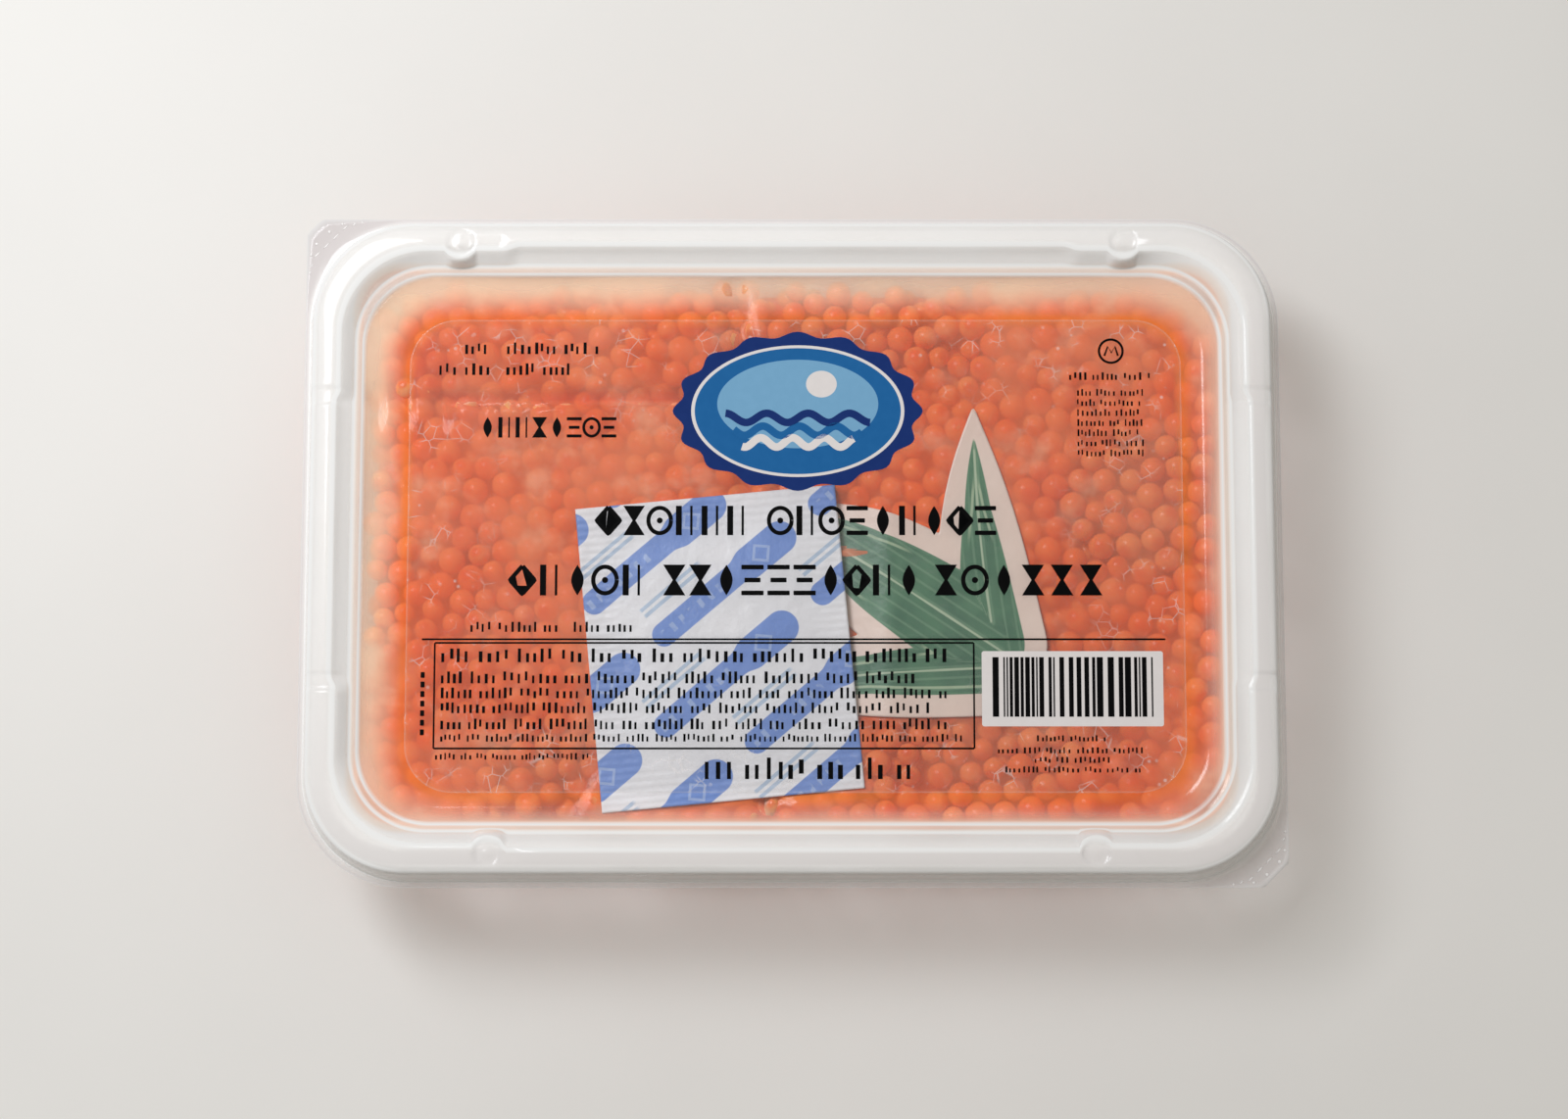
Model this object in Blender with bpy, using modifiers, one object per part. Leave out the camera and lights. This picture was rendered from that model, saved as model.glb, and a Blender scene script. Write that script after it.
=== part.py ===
"""A shut, clear plastic tub of salmon roe, 250 g, with a sachet and a sheet of bamboo leaves under its lid.

Metres, +Z up, +X along the long side. The origin is under the middle of the tub, on the surface it stands on.
The tub and the lid are thin formed shells. The roe is one solid with a bump for every egg that shows.
"""

import math
import random

import bpy
from mathutils import Vector, noise
from mathutils.geometry import delaunay_2d_cdt

MM = 0.001

# The whole pack, over the lid's flange.
LENGTH = 165.0 * MM
WIDTH = 113.5 * MM
HEIGHT = 28.0 * MM
CORNER_RADIUS = 18.0 * MM
CORNER_STEPS = 7
SHEET = 0.5 * MM  # wall of the formed plastic
FIT_GAP = 0.3 * MM  # kept between touching pieces

# The lid: a flange with two lifting tabs, a raised ring, a ledge inside the ring and a sunken panel.
FLANGE_TOP = 21.0 * MM
LEDGE_TOP = 24.6 * MM
PANEL_TOP = 21.5 * MM
TAB_CHAMFERS = {1: 2.5 * MM, 3: 4.2 * MM}  # cut off the corner of each tab, by the number of its corner
RING_WIDER_AT_CORNERS = 0.9 * MM
RING_STEP = 3.0 * MM  # length over which the ring gets narrower
VENT_Y = (25.0 * MM, -23.0 * MM)
VENT_WIDTH = 2.2 * MM
VENT_DEPTH = 0.4 * MM
VENT_SLOPE = 0.5 * MM
BUTTON_RADIUS = 2.8 * MM
BUTTON_BULGE = 2.1 * MM  # how far a button stands in from the ring's inner edge
BUTTON_STEPS = 5
BACK_BUTTON_X = 55.8 * MM
FRONT_BUTTON_X = 50.0 * MM
BACK_STEP_X = 47.0 * MM
FRONT_STEP_X = 50.0 * MM

# Each line of the lid's upper side, from the flange's edge in to the panel:
# inset from the edge, height, corner radius, share of the ring's inner shape, share of the vents' depth.
LID_PROFILE = (
    (0.0 * MM, FLANGE_TOP, CORNER_RADIUS, 0.0, 0.0),
    (0.9 * MM, FLANGE_TOP, CORNER_RADIUS, 0.0, 0.0),
    (1.9 * MM, HEIGHT - 1.4 * MM, 17.0 * MM, 0.0, 0.5),
    (2.5 * MM, HEIGHT - 0.5 * MM, 16.5 * MM, 0.0, 1.0),
    (3.4 * MM, HEIGHT, 15.6 * MM, 0.0, 1.0),
    (6.1 * MM, HEIGHT, 14.4 * MM, 1.0, 1.0),
    (6.9 * MM, HEIGHT - 0.6 * MM, 13.9 * MM, 1.0, 0.7),
    (7.6 * MM, LEDGE_TOP + 0.3 * MM, 13.4 * MM, 0.75, 0.0),
    (9.8 * MM, LEDGE_TOP, 12.6 * MM, 0.0, 0.0),
    (10.6 * MM, PANEL_TOP + 0.6 * MM, 11.9 * MM, 0.0, 0.0),
    (11.4 * MM, PANEL_TOP, 11.3 * MM, 0.0, 0.0),
)

# The tub, under the lid. Its wall leans outward from the foot to the shoulder.
BEAD_TOP = 26.7 * MM
SHOULDER_TOP = 23.6 * MM
TUB_FLANGE_TOP = 20.1 * MM
FLOOR_TOP = 0.5 * MM
FLOOR_RISE = 0.7 * MM
WALL_TOP_INSET = 8.8 * MM
WALL_TOP_RADIUS = 12.9 * MM
WALL_FOOT_INSET = 12.3 * MM
WALL_FOOT_RADIUS = 10.5 * MM
WALL_FOOT_HEIGHT = 2.6 * MM

# Each line of the tub's inner side, from its flange's edge in to the floor: inset, height, corner radius.
TUB_PROFILE = (
    (0.8 * MM, TUB_FLANGE_TOP, 17.2 * MM),
    (2.3 * MM, TUB_FLANGE_TOP, 16.0 * MM),
    (3.0 * MM, BEAD_TOP - 0.7 * MM, 15.3 * MM),
    (3.7 * MM, BEAD_TOP, 14.8 * MM),
    (5.5 * MM, BEAD_TOP, 14.4 * MM),
    (6.0 * MM, BEAD_TOP - 0.6 * MM, 14.2 * MM),
    (6.5 * MM, SHOULDER_TOP + 0.2 * MM, 13.8 * MM),
    (WALL_TOP_INSET, SHOULDER_TOP, WALL_TOP_RADIUS),
    (WALL_FOOT_INSET, WALL_FOOT_HEIGHT, WALL_FOOT_RADIUS),
    (WALL_FOOT_INSET + 0.7 * MM, FLOOR_TOP + 0.7 * MM, 9.8 * MM),
    (WALL_FOOT_INSET + 2.2 * MM, FLOOR_TOP, 8.6 * MM),
    (WALL_FOOT_INSET + 6.2 * MM, FLOOR_TOP, 6.0 * MM),
    (WALL_FOOT_INSET + 7.6 * MM, FLOOR_TOP + FLOOR_RISE, 5.2 * MM),
)

# The clear label stuck on the lid's panel.
LABEL_SIZE = (130.4 * MM, 80.2 * MM)
LABEL_CENTRE = (0.6 * MM, -1.0 * MM)
LABEL_RADIUS = 8.0 * MM
LABEL_THICK = 0.15 * MM
LABEL_GAP = 0.2 * MM

# The sachet that lies on the roe.
SACHET_SIZE = (44.0 * MM, 51.5 * MM)
SACHET_CENTRE = (-12.2 * MM, -16.6 * MM)
SACHET_TURN = math.radians(5.5)
SACHET_THICK = 1.9 * MM
SACHET_SEAL = 0.3 * MM  # thickness of its flat sealed edges
SACHET_FULL = (0.35, 0.4)  # share of its half width and half length over which it is at its thickest
SACHET_FLAT = (0.9, 0.92)  # share from which it is a flat seal
SACHET_COLUMNS = 10
SACHET_ROWS = 12
SACHET_TOP = 20.7 * MM

# The sheet cut as bamboo leaves, beside and under the sachet: pointed blades that fan out from one foot,
# with webs between them. Each has the direction it points in and its length.
LEAF_FOOT = (36.6 * MM, -21.7 * MM)
LEAF_BLADES = (
    (math.radians(98.0), 46.8 * MM),
    (math.radians(147.0), 46.0 * MM),
    (math.radians(184.0), 42.0 * MM),
)
LEAF_WEBS = ((math.radians(121.0), 25.5 * MM), (math.radians(164.0), 32.0 * MM))
LEAF_FOOT_RADIUS = 6.0 * MM
LEAF_NARROWING = 3.1
LEAF_POINT = 1.3  # 1 for straight-sided tips, more for rounder ones
LEAF_THICK = 0.3 * MM
LEAF_HIGH = 20.35 * MM
LEAF_LOW = 17.9 * MM
LEAF_DIP = (7.5 * MM, 17.0 * MM)  # the stretch of X over which the leaf goes down under the sachet
LEAF_WAVE = 0.12 * MM
LEAF_WAVE_LENGTH = (28.0 * MM, 38.0 * MM)
LEAF_TIP_ANGLES = (0.0, 0.05, 0.11, 0.18, 0.26)  # directions beside each blade's own that get points
LEAF_FOOT_STEPS = 10
LEAF_RINGS = 4
LEAF_ROOM = 0.7 * MM  # kept between the leaf's underside and the roe, where the sheet bends

# The roe: eggs side by side, out to the tub's walls and up under the lid.
EGG_SPACING = 4.6 * MM
EGG_RELIEF = 1.2 * MM
EGG_SCATTER = 0.3 * MM
EGG_UNEVEN = 0.3 * MM  # how much lower some eggs lie than their neighbours
ROE_TOP = 20.4 * MM
ROE_FOOT = 1.6 * MM  # the eggs are pressed flat on the floor
ROE_SINK = 1.4 * MM  # how much lower than ROE_TOP the heap lies in its hollows
ROE_HOLLOW_WIDTH = 26.0 * MM
EDGE_BAND = 2.6 * MM  # the eggs of the top lie this far in from the wall, and their rim slopes to it
EDGE_RADIUS = 9.5 * MM
ROE_ROUNDING = 0.9 * MM  # how far its lowest and highest side lines stand back
FILL_PRECISION = 0.0001 * MM
ROE_SEED = 7


def clear_scene():
    """Removes whatever the file held before."""
    for thing in list(bpy.data.objects):
        bpy.data.objects.remove(thing, do_unlink=True)


def plastic(name, colour, roughness, see_through):
    """A Principled material. see_through is 1 for clear sheet and 0 for a solid colour."""
    material = bpy.data.materials.new(name)
    material.use_nodes = True
    shader = material.node_tree.nodes["Principled BSDF"]
    shader.inputs["Base Color"].default_value = (*colour, 1.0)
    shader.inputs["Roughness"].default_value = roughness
    shader.inputs["Metallic"].default_value = 0.0
    shader.inputs["Transmission Weight"].default_value = see_through
    shader.inputs["Alpha"].default_value = 1.0 - 0.7 * see_through
    material.diffuse_color = (*colour, 1.0 - 0.7 * see_through)
    return material


def smoothstep(value, low, high):
    """0 at low, 1 at high, and a smooth S between them."""
    share = min(max((value - low) / (high - low), 0.0), 1.0)
    return share * share * (3.0 - 2.0 * share)


def tab_reach(angle, radius, chamfer):
    """Distance from a round corner's centre to the edge of the square tab, with a cut corner, in its place."""
    across = abs(math.cos(angle))
    along = abs(math.sin(angle))
    cut = (2.0 * radius - chamfer) / (across + along)
    return min(radius / max(across, 1e-9), radius / max(along, 1e-9), cut)


def rounded_rectangle(length, width, radius, stations=((), (), (), ()), shift=None, chamfers=None):
    """Points round a rectangle with round corners, anticlockwise from the right end of the +X, +Y corner.

    stations are places along the +Y, -X, -Y and +X sides that get a point of their own.
    shift(side, place) moves a point inward. At a corner, the place is None.
    chamfers makes some corners square tabs with a cut corner.
    """
    points = []
    quarter = math.pi / 2.0
    for corner, (sign_x, sign_y) in enumerate(((1, 1), (-1, 1), (-1, -1), (1, -1))):
        inward = shift(corner, None) if shift else 0.0
        centre_x = sign_x * (length / 2.0 - radius - inward)
        centre_y = sign_y * (width / 2.0 - radius - inward)
        for step in range(CORNER_STEPS + 1):
            angle = quarter * (corner + step / CORNER_STEPS)
            is_tab = chamfers and corner in chamfers
            reach = tab_reach(angle, radius, chamfers[corner]) if is_tab else radius
            points.append((centre_x + reach * math.cos(angle), centre_y + reach * math.sin(angle)))
        for place in stations[corner]:
            inward = shift(corner, place) if shift else 0.0
            points.append(
                (
                    (place, width / 2.0 - inward),
                    (-length / 2.0 + inward, place),
                    (place, -width / 2.0 + inward),
                    (length / 2.0 - inward, place),
                )[corner]
            )
    return points


def loft(name, sections):
    """An open surface through sections, lists of (x, y, z) of one length. The last one is filled."""
    count = len(sections[0])
    vertices = [point for section in sections for point in section]
    faces = []
    for row in range(len(sections) - 1):
        for here in range(count):
            ahead = (here + 1) % count
            low, high = row * count, (row + 1) * count
            faces.append((low + here, low + ahead, high + ahead, high + here))
    last = (len(sections) - 1) * count
    faces.append(tuple(range(last, last + count)))
    mesh = bpy.data.meshes.new(name)
    mesh.from_pydata(vertices, [], faces)
    mesh.update()
    return mesh


def add_object(name, mesh, material, parent, sharp_degrees=35.0):
    """One node of the pack, shaded smooth except at sharp edges."""
    thing = bpy.data.objects.new(name, mesh)
    bpy.data.collections["salmon_roe_pack"].objects.link(thing)
    thing.data.materials.append(material)
    mesh.shade_smooth()
    mesh.set_sharp_from_angle(angle=math.radians(sharp_degrees))
    thing.parent = parent
    return thing


def add_wall(thing, thickness, offset=-1.0):
    """Gives an open surface its wall: -1 for the side away from its normals, 0 for half on each side."""
    solidify = thing.modifiers.new("wall", "SOLIDIFY")
    solidify.thickness = thickness
    solidify.offset = offset
    solidify.use_even_offset = True
    solidify.use_quality_normals = True


# The lid

def vent_stations(high_to_low):
    """Points across the two vents of a short side, from the vents' edges."""
    places = []
    for middle in VENT_Y:
        half = VENT_WIDTH / 2.0
        places += [middle - half - VENT_SLOPE, middle - half, middle + half, middle + half + VENT_SLOPE]
    return sorted(places, reverse=high_to_low)


def long_side_stations(button, step, right_to_left):
    """Points along a long side: round each button, and where the ring gets narrower."""
    places = []
    for sign in (-1.0, 1.0):
        places += [sign * (step - RING_STEP / 2.0), sign * (step + RING_STEP / 2.0)]
        for turn in range(BUTTON_STEPS + 1):
            angle = math.pi * turn / BUTTON_STEPS
            places.append(sign * button + BUTTON_RADIUS * math.cos(angle))
    return sorted(places, reverse=right_to_left)


LID_STATIONS = (
    long_side_stations(BACK_BUTTON_X, BACK_STEP_X, True),
    vent_stations(True),
    long_side_stations(FRONT_BUTTON_X, FRONT_STEP_X, False),
    vent_stations(False),
)


def ring_shift(side, place):
    """How far the ring's inner edge stands in: 0 where it is narrow, more at corners and round buttons."""
    if place is None:
        return RING_WIDER_AT_CORNERS
    if side in (1, 3):
        outside = place > VENT_Y[0] or place < VENT_Y[1]
        return RING_WIDER_AT_CORNERS if outside else 0.0
    button, step = (BACK_BUTTON_X, BACK_STEP_X) if side == 0 else (FRONT_BUTTON_X, FRONT_STEP_X)
    wide = smoothstep(abs(place), step - RING_STEP / 2.0, step + RING_STEP / 2.0)
    from_button = min(abs(abs(place) - button) / BUTTON_RADIUS, 1.0)
    bulge = BUTTON_BULGE * math.sqrt(1.0 - from_button * from_button)
    return max(RING_WIDER_AT_CORNERS * wide, bulge)


def vent_drop(side, place):
    """How far the ring's top lies lower in a vent."""
    if side not in (1, 3) or place is None:
        return 0.0
    nearest = min(abs(place - middle) for middle in VENT_Y)
    return VENT_DEPTH if nearest < VENT_WIDTH / 2.0 + VENT_SLOPE / 2.0 else 0.0


def lid_section(inset, height, radius, shift_share, vent_share):
    """One closed line of the lid's upper side. The outermost line has the tabs."""
    outline = rounded_rectangle(
        LENGTH - 2.0 * inset,
        WIDTH - 2.0 * inset,
        radius,
        LID_STATIONS,
        lambda side, place: shift_share * ring_shift(side, place),
        TAB_CHAMFERS if inset == 0.0 else None,
    )
    drops = []
    for side in range(4):
        drops += [0.0] * (CORNER_STEPS + 1)
        drops += [vent_share * vent_drop(side, place) for place in LID_STATIONS[side]]
    return [(x, y, height - drop) for (x, y), drop in zip(outline, drops)]


def make_lid(material, parent):
    """Clear formed lid, from the flange's edge with its two lifting tabs in to the sunken panel."""
    lid = add_object("lid", loft("lid", [lid_section(*line) for line in LID_PROFILE]), material, parent)
    add_wall(lid, SHEET)
    return lid


# The tub

def tub_section(inset, height, radius):
    """One closed line of the tub's inner side."""
    outline = rounded_rectangle(LENGTH - 2.0 * inset, WIDTH - 2.0 * inset, radius)
    return [(x, y, height) for x, y in outline]


def wall_at(height):
    """(inset, corner radius) of the tub's inner wall, which is straight between its foot and its shoulder."""
    share = (height - WALL_FOOT_HEIGHT) / (SHOULDER_TOP - WALL_FOOT_HEIGHT)
    inset = WALL_FOOT_INSET + (WALL_TOP_INSET - WALL_FOOT_INSET) * share
    return inset, WALL_FOOT_RADIUS + (WALL_TOP_RADIUS - WALL_FOOT_RADIUS) * share


def make_tub(material, parent):
    """Clear formed tub: flange, bead under the lid's ring, shoulder, leaning wall, and floor with a foot ring."""
    tub = add_object("tub", loft("tub", [tub_section(*line) for line in TUB_PROFILE]), material, parent)
    add_wall(tub, SHEET)
    return tub


# The label

def make_label(material, parent):
    """Thin clear label with round corners, flat on the lid's panel."""
    outline = rounded_rectangle(*LABEL_SIZE, LABEL_RADIUS)
    mesh = loft("label", [[(x, y, 0.0) for x, y in outline]])
    label = add_object("label", mesh, material, parent)
    label.location = (*LABEL_CENTRE, PANEL_TOP + LABEL_GAP + LABEL_THICK)
    add_wall(label, LABEL_THICK)
    return label


# The sachet

def sachet_swell(across, along):
    """Share of the sachet's full thickness at (across, along), each -1 to 1: 0 in the seals, 1 in the middle."""
    from_side = 1.0 - smoothstep(abs(across), SACHET_FULL[0], SACHET_FLAT[0])
    from_end = 1.0 - smoothstep(abs(along), SACHET_FULL[1], SACHET_FLAT[1])
    return from_side * from_end


def sachet_half_thick(across, along):
    """Half the sachet's thickness at a place on it."""
    return (SACHET_SEAL + (SACHET_THICK - SACHET_SEAL) * sachet_swell(across, along)) / 2.0


def sachet_place(x, y):
    """(across, along) on the sachet of a point of the pack, each -1 to 1 where the sachet covers it."""
    right = x - SACHET_CENTRE[0]
    back = y - SACHET_CENTRE[1]
    across = right * math.cos(SACHET_TURN) + back * math.sin(SACHET_TURN)
    along = back * math.cos(SACHET_TURN) - right * math.sin(SACHET_TURN)
    return across / (SACHET_SIZE[0] / 2.0), along / (SACHET_SIZE[1] / 2.0)


def make_sachet(material, parent):
    """Flat pillow with sealed edges: a grid of points above and below, swollen in the middle."""
    columns, rows = SACHET_COLUMNS, SACHET_ROWS
    top = [
        (2.0 * column / columns - 1.0, 2.0 * row / rows - 1.0)
        for row in range(rows + 1)
        for column in range(columns + 1)
    ]
    vertices = [
        (a * SACHET_SIZE[0] / 2.0, b * SACHET_SIZE[1] / 2.0, side * sachet_half_thick(a, b))
        for side in (1.0, -1.0)
        for a, b in top
    ]
    below = len(top)
    stride = columns + 1
    faces = []
    for row in range(rows):
        for column in range(columns):
            at = row * stride + column
            quad = (at, at + 1, at + stride + 1, at + stride)
            faces.append(quad)
            faces.append(tuple(below + index for index in reversed(quad)))
    rim = list(range(columns)) + [row * stride + columns for row in range(rows)]
    rim += [rows * stride + column for column in range(columns, 0, -1)]
    rim += [row * stride for row in range(rows, 0, -1)]
    for here, ahead in zip(rim, rim[1:] + rim[:1]):
        faces.append((ahead, here, below + here, below + ahead))
    mesh = bpy.data.meshes.new("sachet")
    mesh.from_pydata(vertices, [], faces)
    sachet = add_object("sachet", mesh, material, parent)
    sachet.location = (*SACHET_CENTRE, SACHET_TOP - SACHET_THICK / 2.0)
    sachet.rotation_euler.z = SACHET_TURN
    return sachet


# The leaf sheet

def leaf_reach(angle):
    """Distance from the leaf's foot to its edge: the furthest blade or web, each less away from its axis."""
    reach = LEAF_FOOT_RADIUS
    for axis, length in LEAF_BLADES + LEAF_WEBS:
        away = abs((angle - axis + math.pi) % (2.0 * math.pi) - math.pi)
        reach = max(reach, length * math.exp(-LEAF_NARROWING * away**LEAF_POINT))
    return reach


def leaf_angles():
    """Directions from the foot that get points: close together at each tip, wide apart round the foot."""
    angles = {axis for axis, _ in LEAF_WEBS}
    for axis, _ in LEAF_BLADES:
        angles |= {axis + offset for offset in LEAF_TIP_ANGLES}
        angles |= {axis - offset for offset in LEAF_TIP_ANGLES}
    first, last = min(angles), max(angles)
    rest = 2.0 * math.pi - (last - first)
    angles |= {last + rest * step / LEAF_FOOT_STEPS for step in range(1, LEAF_FOOT_STEPS)}
    return sorted(angles)


def leaf_height(x, y):
    """Height of the leaf's middle: up under the lid, down where it passes below the sachet, slightly wavy."""
    high = smoothstep(x, *LEAF_DIP)
    turns = x / LEAF_WAVE_LENGTH[0], y / LEAF_WAVE_LENGTH[1]
    wave = LEAF_WAVE * math.sin(2.0 * math.pi * turns[0]) * math.cos(2.0 * math.pi * turns[1])
    return LEAF_LOW + (LEAF_HIGH - LEAF_LOW) * high + wave


def make_leaf(material, parent):
    """Thin sheet cut to blades: rings of points round the foot, out to the edge, with a wall."""
    angles = leaf_angles()
    count = len(angles)
    vertices = [(*LEAF_FOOT, leaf_height(*LEAF_FOOT))]
    for ring in range(1, LEAF_RINGS + 1):
        for angle in angles:
            reach = leaf_reach(angle) * ring / LEAF_RINGS
            x = LEAF_FOOT[0] + reach * math.cos(angle)
            y = LEAF_FOOT[1] + reach * math.sin(angle)
            vertices.append((x, y, leaf_height(x, y)))
    triangles = []
    for here in range(count):
        ahead = (here + 1) % count
        triangles.append((0, 1 + here, 1 + ahead))
        for ring in range(LEAF_RINGS - 1):
            inner, outer = 1 + ring * count, 1 + (ring + 1) * count
            triangles.append((inner + here, outer + here, outer + ahead))
            triangles.append((inner + here, outer + ahead, inner + ahead))
    mesh = bpy.data.meshes.new("leaf")
    mesh.from_pydata(vertices, [], triangles)
    leaf = add_object("leaf", mesh, material, parent)
    add_wall(leaf, LEAF_THICK, 0.0)
    return leaf


# The roe

def on_leaf(x, y, margin):
    """True within margin of the leaf sheet, seen from above."""
    right = x - LEAF_FOOT[0]
    back = y - LEAF_FOOT[1]
    return math.hypot(right, back) < leaf_reach(math.atan2(back, right)) + margin


def room_for_roe(x, y):
    """Highest that the roe may stand at a point, under the lid, the leaf and the sachet."""
    room = ROE_TOP
    if on_leaf(x, y, 0.6 * EGG_SPACING):
        room = min(room, leaf_height(x, y) - LEAF_THICK / 2.0 - LEAF_ROOM)
    across, along = sachet_place(x, y)
    if max(abs(across), abs(along)) < 1.12:
        across = max(-1.0, min(1.0, across))
        along = max(-1.0, min(1.0, along))
        room = min(room, SACHET_TOP - SACHET_THICK / 2.0 - sachet_half_thick(across, along) - FIT_GAP)
    return room


def roe_level(x, y):
    """Height of the heap's top: just under what lies on it, with broad hollows."""
    hollow = 0.5 + 0.5 * noise.noise(Vector((x / ROE_HOLLOW_WIDTH, y / ROE_HOLLOW_WIDTH, 3.0)))
    return min(room_for_roe(x, y), ROE_TOP - ROE_SINK * hollow)


def is_crown(column, row):
    """On a triangular lattice whose odd rows stand half a step over, every third point is an egg's crown."""
    return (column - row // 2 - row) % 3 == 0


def egg_lattice(length, width, radius, draw):
    """Points of a triangular lattice inside a rounded rectangle, as (x, y, True for an egg's crown)."""
    pitch = EGG_SPACING / math.sqrt(3.0)
    points = []
    rows = int(width / EGG_SPACING) + 1
    columns = int(length / pitch / 2.0) + 1
    for row in range(-rows, rows + 1):
        for column in range(-columns, columns + 1):
            crown = is_crown(column, row)
            x = (column + 0.5 * (row % 2)) * pitch + draw.uniform(-EGG_SCATTER, EGG_SCATTER)
            y = row * EGG_SPACING / 2.0 + draw.uniform(-EGG_SCATTER, EGG_SCATTER)
            over_x = max(abs(x) - (length / 2.0 - radius), 0.0)
            over_y = max(abs(y) - (width / 2.0 - radius), 0.0)
            if abs(x) < length / 2.0 and abs(y) < width / 2.0 and math.hypot(over_x, over_y) < radius:
                points.append((x, y, crown))
    return points


def roe_ring(inset, height, radius, count, level, draw):
    """One level of the roe's side: every third point is an egg's crown, the others lie back between eggs."""
    outline = rounded_rectangle(LENGTH - 2.0 * inset, WIDTH - 2.0 * inset, radius)
    walk = [0.0]
    closed = outline + outline[:1]
    for (x, y), (next_x, next_y) in zip(closed, closed[1:]):
        walk.append(walk[-1] + math.hypot(next_x - x, next_y - y))
    ring = []
    for index in range(count):
        crown = is_crown(index, level)
        place = walk[-1] * (index + 0.5 * (level % 2)) / count
        leg = max(step for step in range(len(outline)) if walk[step] <= place)
        share = (place - walk[leg]) / (walk[leg + 1] - walk[leg])
        x, y = closed[leg]
        next_x, next_y = closed[leg + 1]
        here = Vector((x + (next_x - x) * share, y + (next_y - y) * share, height))
        inward = Vector((-(next_y - y), next_x - x, 0.0)).normalized()
        depth = draw.uniform(0.0, EGG_UNEVEN) if crown else EGG_RELIEF
        ring.append(here + inward * depth)
    return ring


def fill(ring, lattice):
    """Triangles, seen from above, that fill a closed ring of points with a lattice: the ring counts first."""
    flat = [Vector((x, y)) for x, y, _ in ring] + [Vector((x, y)) for x, y, _ in lattice]
    edges = [(index, (index + 1) % len(ring)) for index in range(len(ring))]
    _, _, faces, *_ = delaunay_2d_cdt(flat, edges, [], 1, FILL_PRECISION)
    return [tuple(face) for face in faces]


def make_roe(material, parent):
    """One solid that fills the tub under the lid, with a bump for every egg at its top and sides."""
    draw = random.Random(ROE_SEED)
    rim = ROE_TOP - ROE_SINK - EGG_RELIEF
    levels = int(round((rim - ROE_FOOT) / (EGG_SPACING / 2.0)))
    inset, radius = wall_at((rim + ROE_FOOT) / 2.0)
    around = 2.0 * (LENGTH + WIDTH - 4.0 * inset) - (8.0 - 2.0 * math.pi) * radius
    count = 6 * int(round(around / (EGG_SPACING / math.sqrt(3.0)) / 6.0))
    rings = []
    for level in range(levels + 1):
        height = ROE_FOOT + (rim - ROE_FOOT) * level / levels
        inset, radius = wall_at(height)
        inset += FIT_GAP + (ROE_ROUNDING if level in (0, levels) else 0.0)
        rings.append(roe_ring(inset, height, radius, count, level, draw))
    vertices = [tuple(point) for ring in rings for point in ring]
    faces = []
    for level in range(levels):
        low, high = level * count, (level + 1) * count
        for here in range(count):
            ahead = (here + 1) % count
            if level % 2:
                faces.append((low + here, low + ahead, high + ahead))
                faces.append((low + here, high + ahead, high + here))
            else:
                faces.append((low + here, low + ahead, high + here))
                faces.append((low + ahead, high + ahead, high + here))
    faces += [tuple(reversed(triangle)) for triangle in fill(rings[0], [])]

    inset, _ = wall_at(rim)
    inset += EDGE_BAND
    lattice = egg_lattice(LENGTH - 2.0 * inset, WIDTH - 2.0 * inset, EDGE_RADIUS, draw)
    top, first = levels * count, len(vertices)
    for triangle in fill(rings[-1], lattice):
        faces.append(tuple(top + index if index < count else first + index - count for index in triangle))
    for x, y, crown in lattice:
        low = draw.uniform(0.0, EGG_UNEVEN) if crown else EGG_RELIEF
        vertices.append((x, y, roe_level(x, y) - low))
    mesh = bpy.data.meshes.new("roe")
    mesh.from_pydata(vertices, [], faces)
    return add_object("roe", mesh, material, parent, sharp_degrees=80.0)


def main():
    clear_scene()
    pack = bpy.data.collections.new("salmon_roe_pack")
    bpy.context.scene.collection.children.link(pack)
    base = bpy.data.objects.new("pack", None)
    pack.objects.link(base)

    clear = plastic("clear plastic", (0.9, 0.89, 0.87), 0.15, 1.0)
    film = plastic("label film", (0.93, 0.9, 0.88), 0.3, 1.0)
    egg = plastic("roe", (0.75, 0.19, 0.07), 0.2, 0.0)
    paper = plastic("sachet film", (0.88, 0.9, 0.94), 0.4, 0.0)
    green = plastic("leaf sheet", (0.08, 0.28, 0.12), 0.35, 0.0)

    make_tub(clear, base)
    make_roe(egg, base)
    make_leaf(green, base)
    make_sachet(paper, base)
    make_lid(clear, base)
    make_label(film, base)


main()
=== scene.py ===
import math

import bmesh
import bpy
import numpy as np
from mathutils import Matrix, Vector


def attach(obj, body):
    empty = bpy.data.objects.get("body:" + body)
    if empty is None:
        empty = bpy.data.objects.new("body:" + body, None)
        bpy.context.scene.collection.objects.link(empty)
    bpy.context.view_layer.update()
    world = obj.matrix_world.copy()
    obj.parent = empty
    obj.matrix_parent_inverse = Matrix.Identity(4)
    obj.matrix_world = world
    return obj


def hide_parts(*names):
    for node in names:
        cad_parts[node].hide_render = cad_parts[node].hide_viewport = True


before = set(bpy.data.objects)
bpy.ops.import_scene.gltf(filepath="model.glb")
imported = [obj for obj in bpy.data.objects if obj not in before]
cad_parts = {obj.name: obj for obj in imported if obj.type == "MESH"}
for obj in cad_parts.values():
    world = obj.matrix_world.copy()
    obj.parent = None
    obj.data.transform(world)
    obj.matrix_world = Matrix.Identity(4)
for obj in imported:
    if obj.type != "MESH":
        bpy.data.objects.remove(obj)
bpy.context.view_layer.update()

# The table, the light and the camera
# The pack lies on a plain pale table. One wide soft lamp hangs at the upper left, as a window would light
# it, and an even pale surround fills the shadows. The camera looks down on the label, tipped a little from
# straight above.
MM = 0.001
TABLE_REACH = 900.0
LAMP_PLACE = (-330.0, 300.0, 620.0)
LAMP_SIDE = 340.0
LAMP_WATTS = 3.83
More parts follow.
